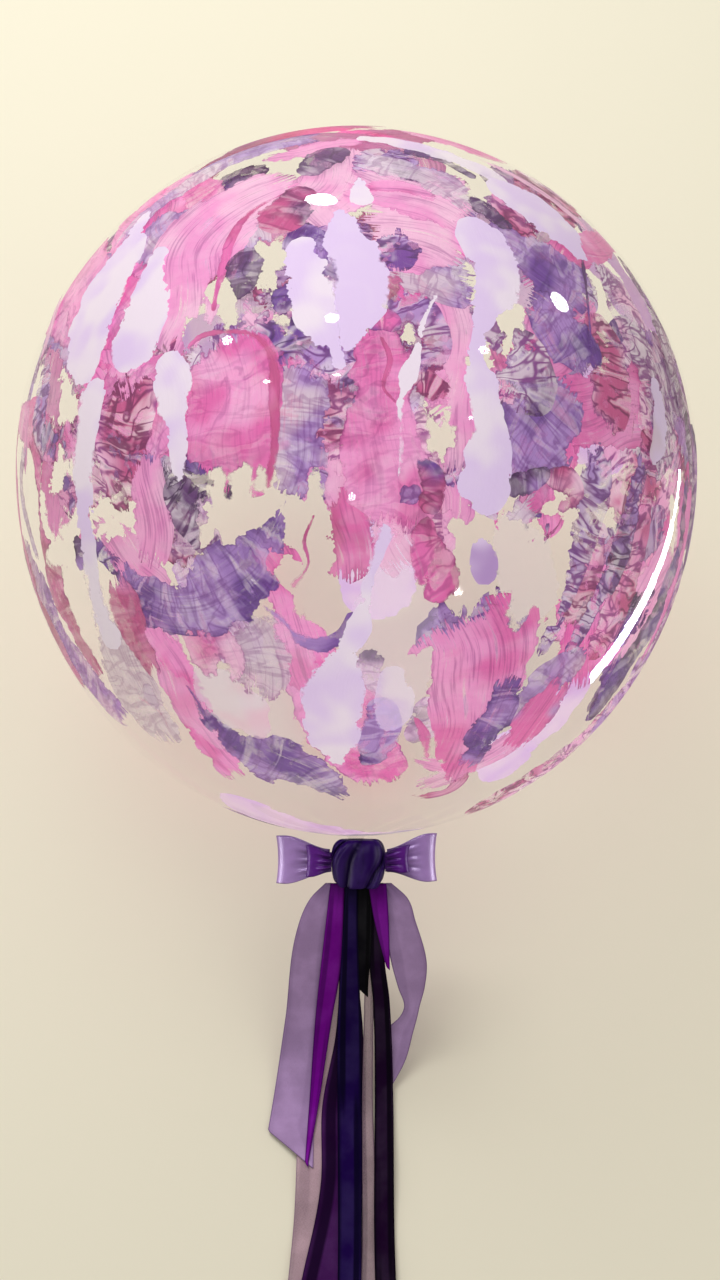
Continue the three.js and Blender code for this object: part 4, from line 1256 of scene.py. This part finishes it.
def mirrored(x, y, distance):
    """The film's spot at a place on the front, and where a lamp must be to shine in it. Both in metres."""
    spot = on_film(directions_of(np.array([[x, y, 0.0]]))[0], 0)
    length = NECK_LENGTH if y < 0 else CROWN_LENGTH
    normal = unit(spot / np.array([RADIUS, length, RADIUS]) ** 2)
    view = unit(CAMERA_PLACE - spot)
    ray = 2 * np.dot(normal, view) * normal - view
    here = to_world(spot) * MM
    return here, here + world_direction(*ray) * distance


def only_glints(lamp, receivers):
    """The lamp makes highlights on the receivers and nothing else."""
    lamp.visible_diffuse = False
    lamp.light_linking.receiver_collection = receivers


class BALLOON_OT_film(bpy.types.Operator):
    """Clear film of the balloon, and the lamps that only glint on it"""

    bl_idname = "balloon.film"
    bl_label = "Film"

    def execute(self, context):
        settings = context.scene.balloon_film
        points = film_points(settings.film_rings)
        rows, around = points.shape[:2]
        faces = grid_faces(rows, around, closed_columns=True)
        film = make_mesh("bubble_film", points, faces, film_material(settings))
        mesh = bmesh.new()
        mesh.from_mesh(film.data)
        bmesh.ops.remove_doubles(mesh, verts=mesh.verts, dist=1e-6)
        bmesh.ops.recalc_face_normals(mesh, faces=mesh.faces)
        mesh.to_mesh(film.data)
        mesh.free()
        as_piece(film, "clear_film", "balloon")

        receivers = bpy.data.collections.new("glints_on_film")
        receivers.objects.link(film)
        up = world_direction(0, 1, 0)
        for number, (x, y, wide, high, power) in enumerate(HIGHLIGHTS):
            spot, place = mirrored(x, y, LAMP_DISTANCE)
            size = (wide, high)
            lamp = area_lamp(f"glint_{number}", place, spot, size, power, shape="ELLIPSE", upright=up)
            only_glints(lamp, receivers)
        ends = [mirrored(x, y, STREAK_DISTANCE) for x, y, _ in STREAK]
        for number, tint in enumerate(STREAK_TINTS):
            spot = (ends[number][0] + ends[number + 1][0]) / 2
            place = (ends[number][1] + ends[number + 1][1]) / 2
            reach = ends[number][1] - ends[number + 1][1]
            size = ((STREAK[number][2] + STREAK[number + 1][2]) / 2, float(np.linalg.norm(reach)))
            power = STREAK_RADIANCE * math.pi * size[0] * size[1]
            lamp = area_lamp(f"window_{number}", place, spot, size, power, tint, upright=reach)
            only_glints(lamp, receivers)
        return {"FINISHED"}


class BALLOON_OT_paint(bpy.types.Operator):
    """Smears of paint just inside the film, grouped by colour"""

    bl_idname = "balloon.paint"
    bl_label = "Paint"

    def execute(self, context):
        names = [name for pair in FAMILIES.values() for name in pair]
        colours = colours_of(context.scene.balloon_paint, names)
        strokes = all_strokes()
        layers = layers_of(strokes)
        groups = {family: [] for family in FAMILIES}
        for number, (stroke, layer) in enumerate(zip(strokes, layers)):
            family = next(f for f, pair in FAMILIES.items() if stroke[1] in pair)
            groups[family].append(stroke_mesh(stroke, layer, number, colours))
        receivers = bpy.data.collections.new("paint_lift")
        for family, meshes in groups.items():
            counts = np.cumsum([0] + [len(m[0]) for m in meshes])
            points = np.concatenate([m[0] for m in meshes])
            faces = np.concatenate([m[1] + start for m, start in zip(meshes, counts)])
            uv = np.concatenate([m[2] for m in meshes])
            values = {key: np.concatenate([m[3][key] for m in meshes]) for key in meshes[0][3]}
            roughness = 0.3 if family == "paint_lilac" else 0.42
            material = paint_material(family, roughness)
            piece = make_mesh(family, points, faces[:, ::-1], material, uv, values)
            as_piece(piece, "clear_film")
            piece.visible_shadow = False
            receivers.objects.link(piece)
        lift = area_lamp("paint_lift", (0.3, -1.9, 1.1), (0, -0.1, 0.25), (1.5, 1.5), 16, (1, 0.97, 0.98))
        lift.visible_glossy = False
        lift.light_linking.receiver_collection = receivers
        return {"FINISHED"}


def ribbon_of(context, key, sheer=1.0, roughness=0.34, gloss=0.05):
    """The ribbon material of one colour, made once. Sheer is its opacity between the threads."""
    found = bpy.data.materials.get(key)
    if found:
        return found
    colour = getattr(context.scene.balloon_ribbon, key)[:]
    return ribbon_material(key, colour, sheer, roughness, gloss)


class BALLOON_OT_knot(bpy.types.Operator):
    """Wrapped knot round the neck"""

    bl_idname = "balloon.knot"
    bl_label = "Knot"

    def execute(self, context):
        points, uv, edge = knot_points()
        faces = grid_faces(points.shape[0], points.shape[1], closed_columns=True)
        material = ribbon_of(context, "knot_ribbon", gloss=0.035)
        knot = make_mesh("knot_wrap", to_world(points), faces, material, uv, {"edge": edge})
        as_piece(knot, "indigo_satin", "bow_knot")
        return {"FINISHED"}


# Directions of the lamps that shine in the satin of the bow, in the balloon's own frame, their distance and
# size in metres, power in watts and tint
SHINES = {
    "shine_left": (-0.93, 0.1, 0.3),
    "shine_right": (0.93, 0.1, 0.3),
    "shine_front": (-0.25, 0.5, 0.85),
}
SHINE_DISTANCE = 1.1
SHINE_SIZE = (0.16, 0.7)
SHINE_POWER = 26
SHINE_TINT = (0.88, 0.78, 1)


# Least share of its flat rectangle that is taken as a tail's area
LEAST_SHARE = 0.31


class BALLOON_OT_bow(bpy.types.Operator):
    """Bow loops and organza points"""

    bl_idname = "balloon.bow"
    bl_label = "Bow"

    def execute(self, context):
        wall = context.scene.balloon_ribbon.ribbon_wall
        receivers = bpy.data.collections.new("satin_shine")
        receivers.objects.link(bpy.data.objects["knot_wrap"])
        middle = to_world([KNOT_SHIFT, KNOT_MIDDLE, KNOT_FORWARD]) * MM
        up = world_direction(0, 1, 0)
        for name, direction in SHINES.items():
            place = middle + world_direction(*direction) * SHINE_DISTANCE
            shine = area_lamp(name, place, middle, SHINE_SIZE, SHINE_POWER, SHINE_TINT, upright=up)
            only_glints(shine, receivers)
        for name, shape in LOOPS.items():
            inner = name.startswith("inner")
            points, uv, edge = loop_points(*shape)
            faces = grid_faces(points.shape[0], points.shape[1], closed_rows=True)
            key, gloss = ("inner_ribbon", 0.12) if inner else ("loop_ribbon", 0.4)
            material = ribbon_of(context, key, roughness=0.3, gloss=gloss)
            loop = make_mesh(f"{name}_ribbon", to_world(points), faces, material, uv, {"edge": edge})
            solidify(loop, wall)
            receivers.objects.link(loop)
            as_piece(loop, "violet_satin" if inner else "lilac_satin", name)
        for name, shape in POINTS.items():
            points, uv, edge = point_points(*shape)
            faces = grid_faces(*points.shape[:2])
            material = ribbon_of(context, "mauve_ribbon", 0.6, 0.5)
            leaf = make_mesh(f"{name}_leaf", to_world(points), faces, material, uv, {"edge": edge})
            as_piece(leaf, "mauve_organza", name)
        return {"FINISHED"}


# Ribbon colour, finish slot, opacity, roughness and strength of the shade painted along the folds of each
# tail
TAIL_LOOK = {
    "tail_mauve_organza": ("mauve_ribbon", "mauve_organza", 0.6, 0.5, 0.25),
    "tail_lilac_left": ("lilac_ribbon", "lilac_satin", 1.0, 0.3, 0.16),
    "tail_dark_purple": ("purple_ribbon", "purple_satin", 1.0, 0.36, 0.9),
    "tail_violet_left": ("violet_ribbon", "violet_satin", 1.0, 0.34, 0.5),
    "tail_grey_organza": ("grey_ribbon", "grey_organza", 0.55, 0.5, 0.4),
    "tail_lilac_right": ("lilac_ribbon", "lilac_satin", 1.0, 0.3, 0.16),
    "tail_maroon": ("maroon_ribbon", "maroon_satin", 1.0, 0.36, 0.9),
    "tail_navy": ("navy_ribbon", "navy_satin", 1.0, 0.36, 0.8),
    "tail_indigo_centre": ("indigo_ribbon", "indigo_satin", 1.0, 0.34, 0.9),
    "tail_violet_short": ("violet_ribbon", "violet_satin", 1.0, 0.34, 0.4),
}


class BALLOON_OT_tails(bpy.types.Operator):
    """Loose ribbon tails, from the lowest layer to the highest"""

    bl_idname = "balloon.tails"
    bl_label = "Tails"

    def execute(self, context):
        lifts = lay_tails()
        longest = max(rows[-1][0] + abs(cut) for cut, rows in TAILS.values())
        places, normals = drape_path(longest)
        wall = context.scene.balloon_ribbon.ribbon_wall
        for name, (key, slot, sheer, roughness, painted_fold_shade) in TAIL_LOOK.items():
            points, uv, edge, area, end = tail_points(name, lifts[name], places, normals, painted_fold_shade)
            faces = grid_faces(*points.shape[:2])[:, ::-1]
            material = ribbon_of(context, key, sheer, roughness)
            tail = make_mesh(f"{name}_ribbon", points, faces, material, uv, {"edge": edge})
            solidify(tail, wall)
            as_piece(tail, slot, name)
            width = max(np.ptp(points[..., 0], axis=1).max() * MM, 0.01)
            area = max(area, LEAST_SHARE * width * end * MM)
        return {"FINISHED"}


class BALLOON_PT_panel(bpy.types.Panel):
    """Shows the balloon's settings and the buttons that build its pieces"""

    bl_label = "Bubble balloon"
    bl_idname = "BALLOON_PT_panel"
    bl_space_type = "VIEW_3D"
    bl_region_type = "UI"
    bl_category = "Balloon"

    def draw(self, context):
        scene = context.scene
        for group, operators in (
            (scene.balloon_stage, ("balloon.stage",)),
            (scene.balloon_film, ("balloon.film",)),
            (scene.balloon_paint, ("balloon.paint",)),
            (scene.balloon_ribbon, ("balloon.knot", "balloon.bow", "balloon.tails")),
        ):
            box = self.layout.box()
            for name in group.bl_rna.properties.keys():
                if name not in ("rna_type", "name"):
                    box.prop(group, name)
            for operator in operators:
                box.operator(operator)


CLASSES = (
    BalloonFilmSettings,
    BalloonPaintSettings,
    BalloonRibbonSettings,
    BalloonStageSettings,
    BALLOON_OT_stage,
    BALLOON_OT_film,
    BALLOON_OT_paint,
    BALLOON_OT_knot,
    BALLOON_OT_bow,
    BALLOON_OT_tails,
    BALLOON_PT_panel,
)
GROUPS = {
    "balloon_film": BalloonFilmSettings,
    "balloon_paint": BalloonPaintSettings,
    "balloon_ribbon": BalloonRibbonSettings,
    "balloon_stage": BalloonStageSettings,
}


def register():
    for each in CLASSES:
        bpy.utils.register_class(each)
    for name, group in GROUPS.items():
        setattr(bpy.types.Scene, name, bpy.props.PointerProperty(type=group))


def unregister():
    for name in GROUPS:
        delattr(bpy.types.Scene, name)
    for each in reversed(CLASSES):
        bpy.utils.unregister_class(each)


def main():
    register()
    bpy.ops.balloon.stage()
    bpy.ops.balloon.film()
    bpy.ops.balloon.paint()
    bpy.ops.balloon.knot()
    bpy.ops.balloon.bow()
    bpy.ops.balloon.tails()


if __name__ == "__main__":
    main()
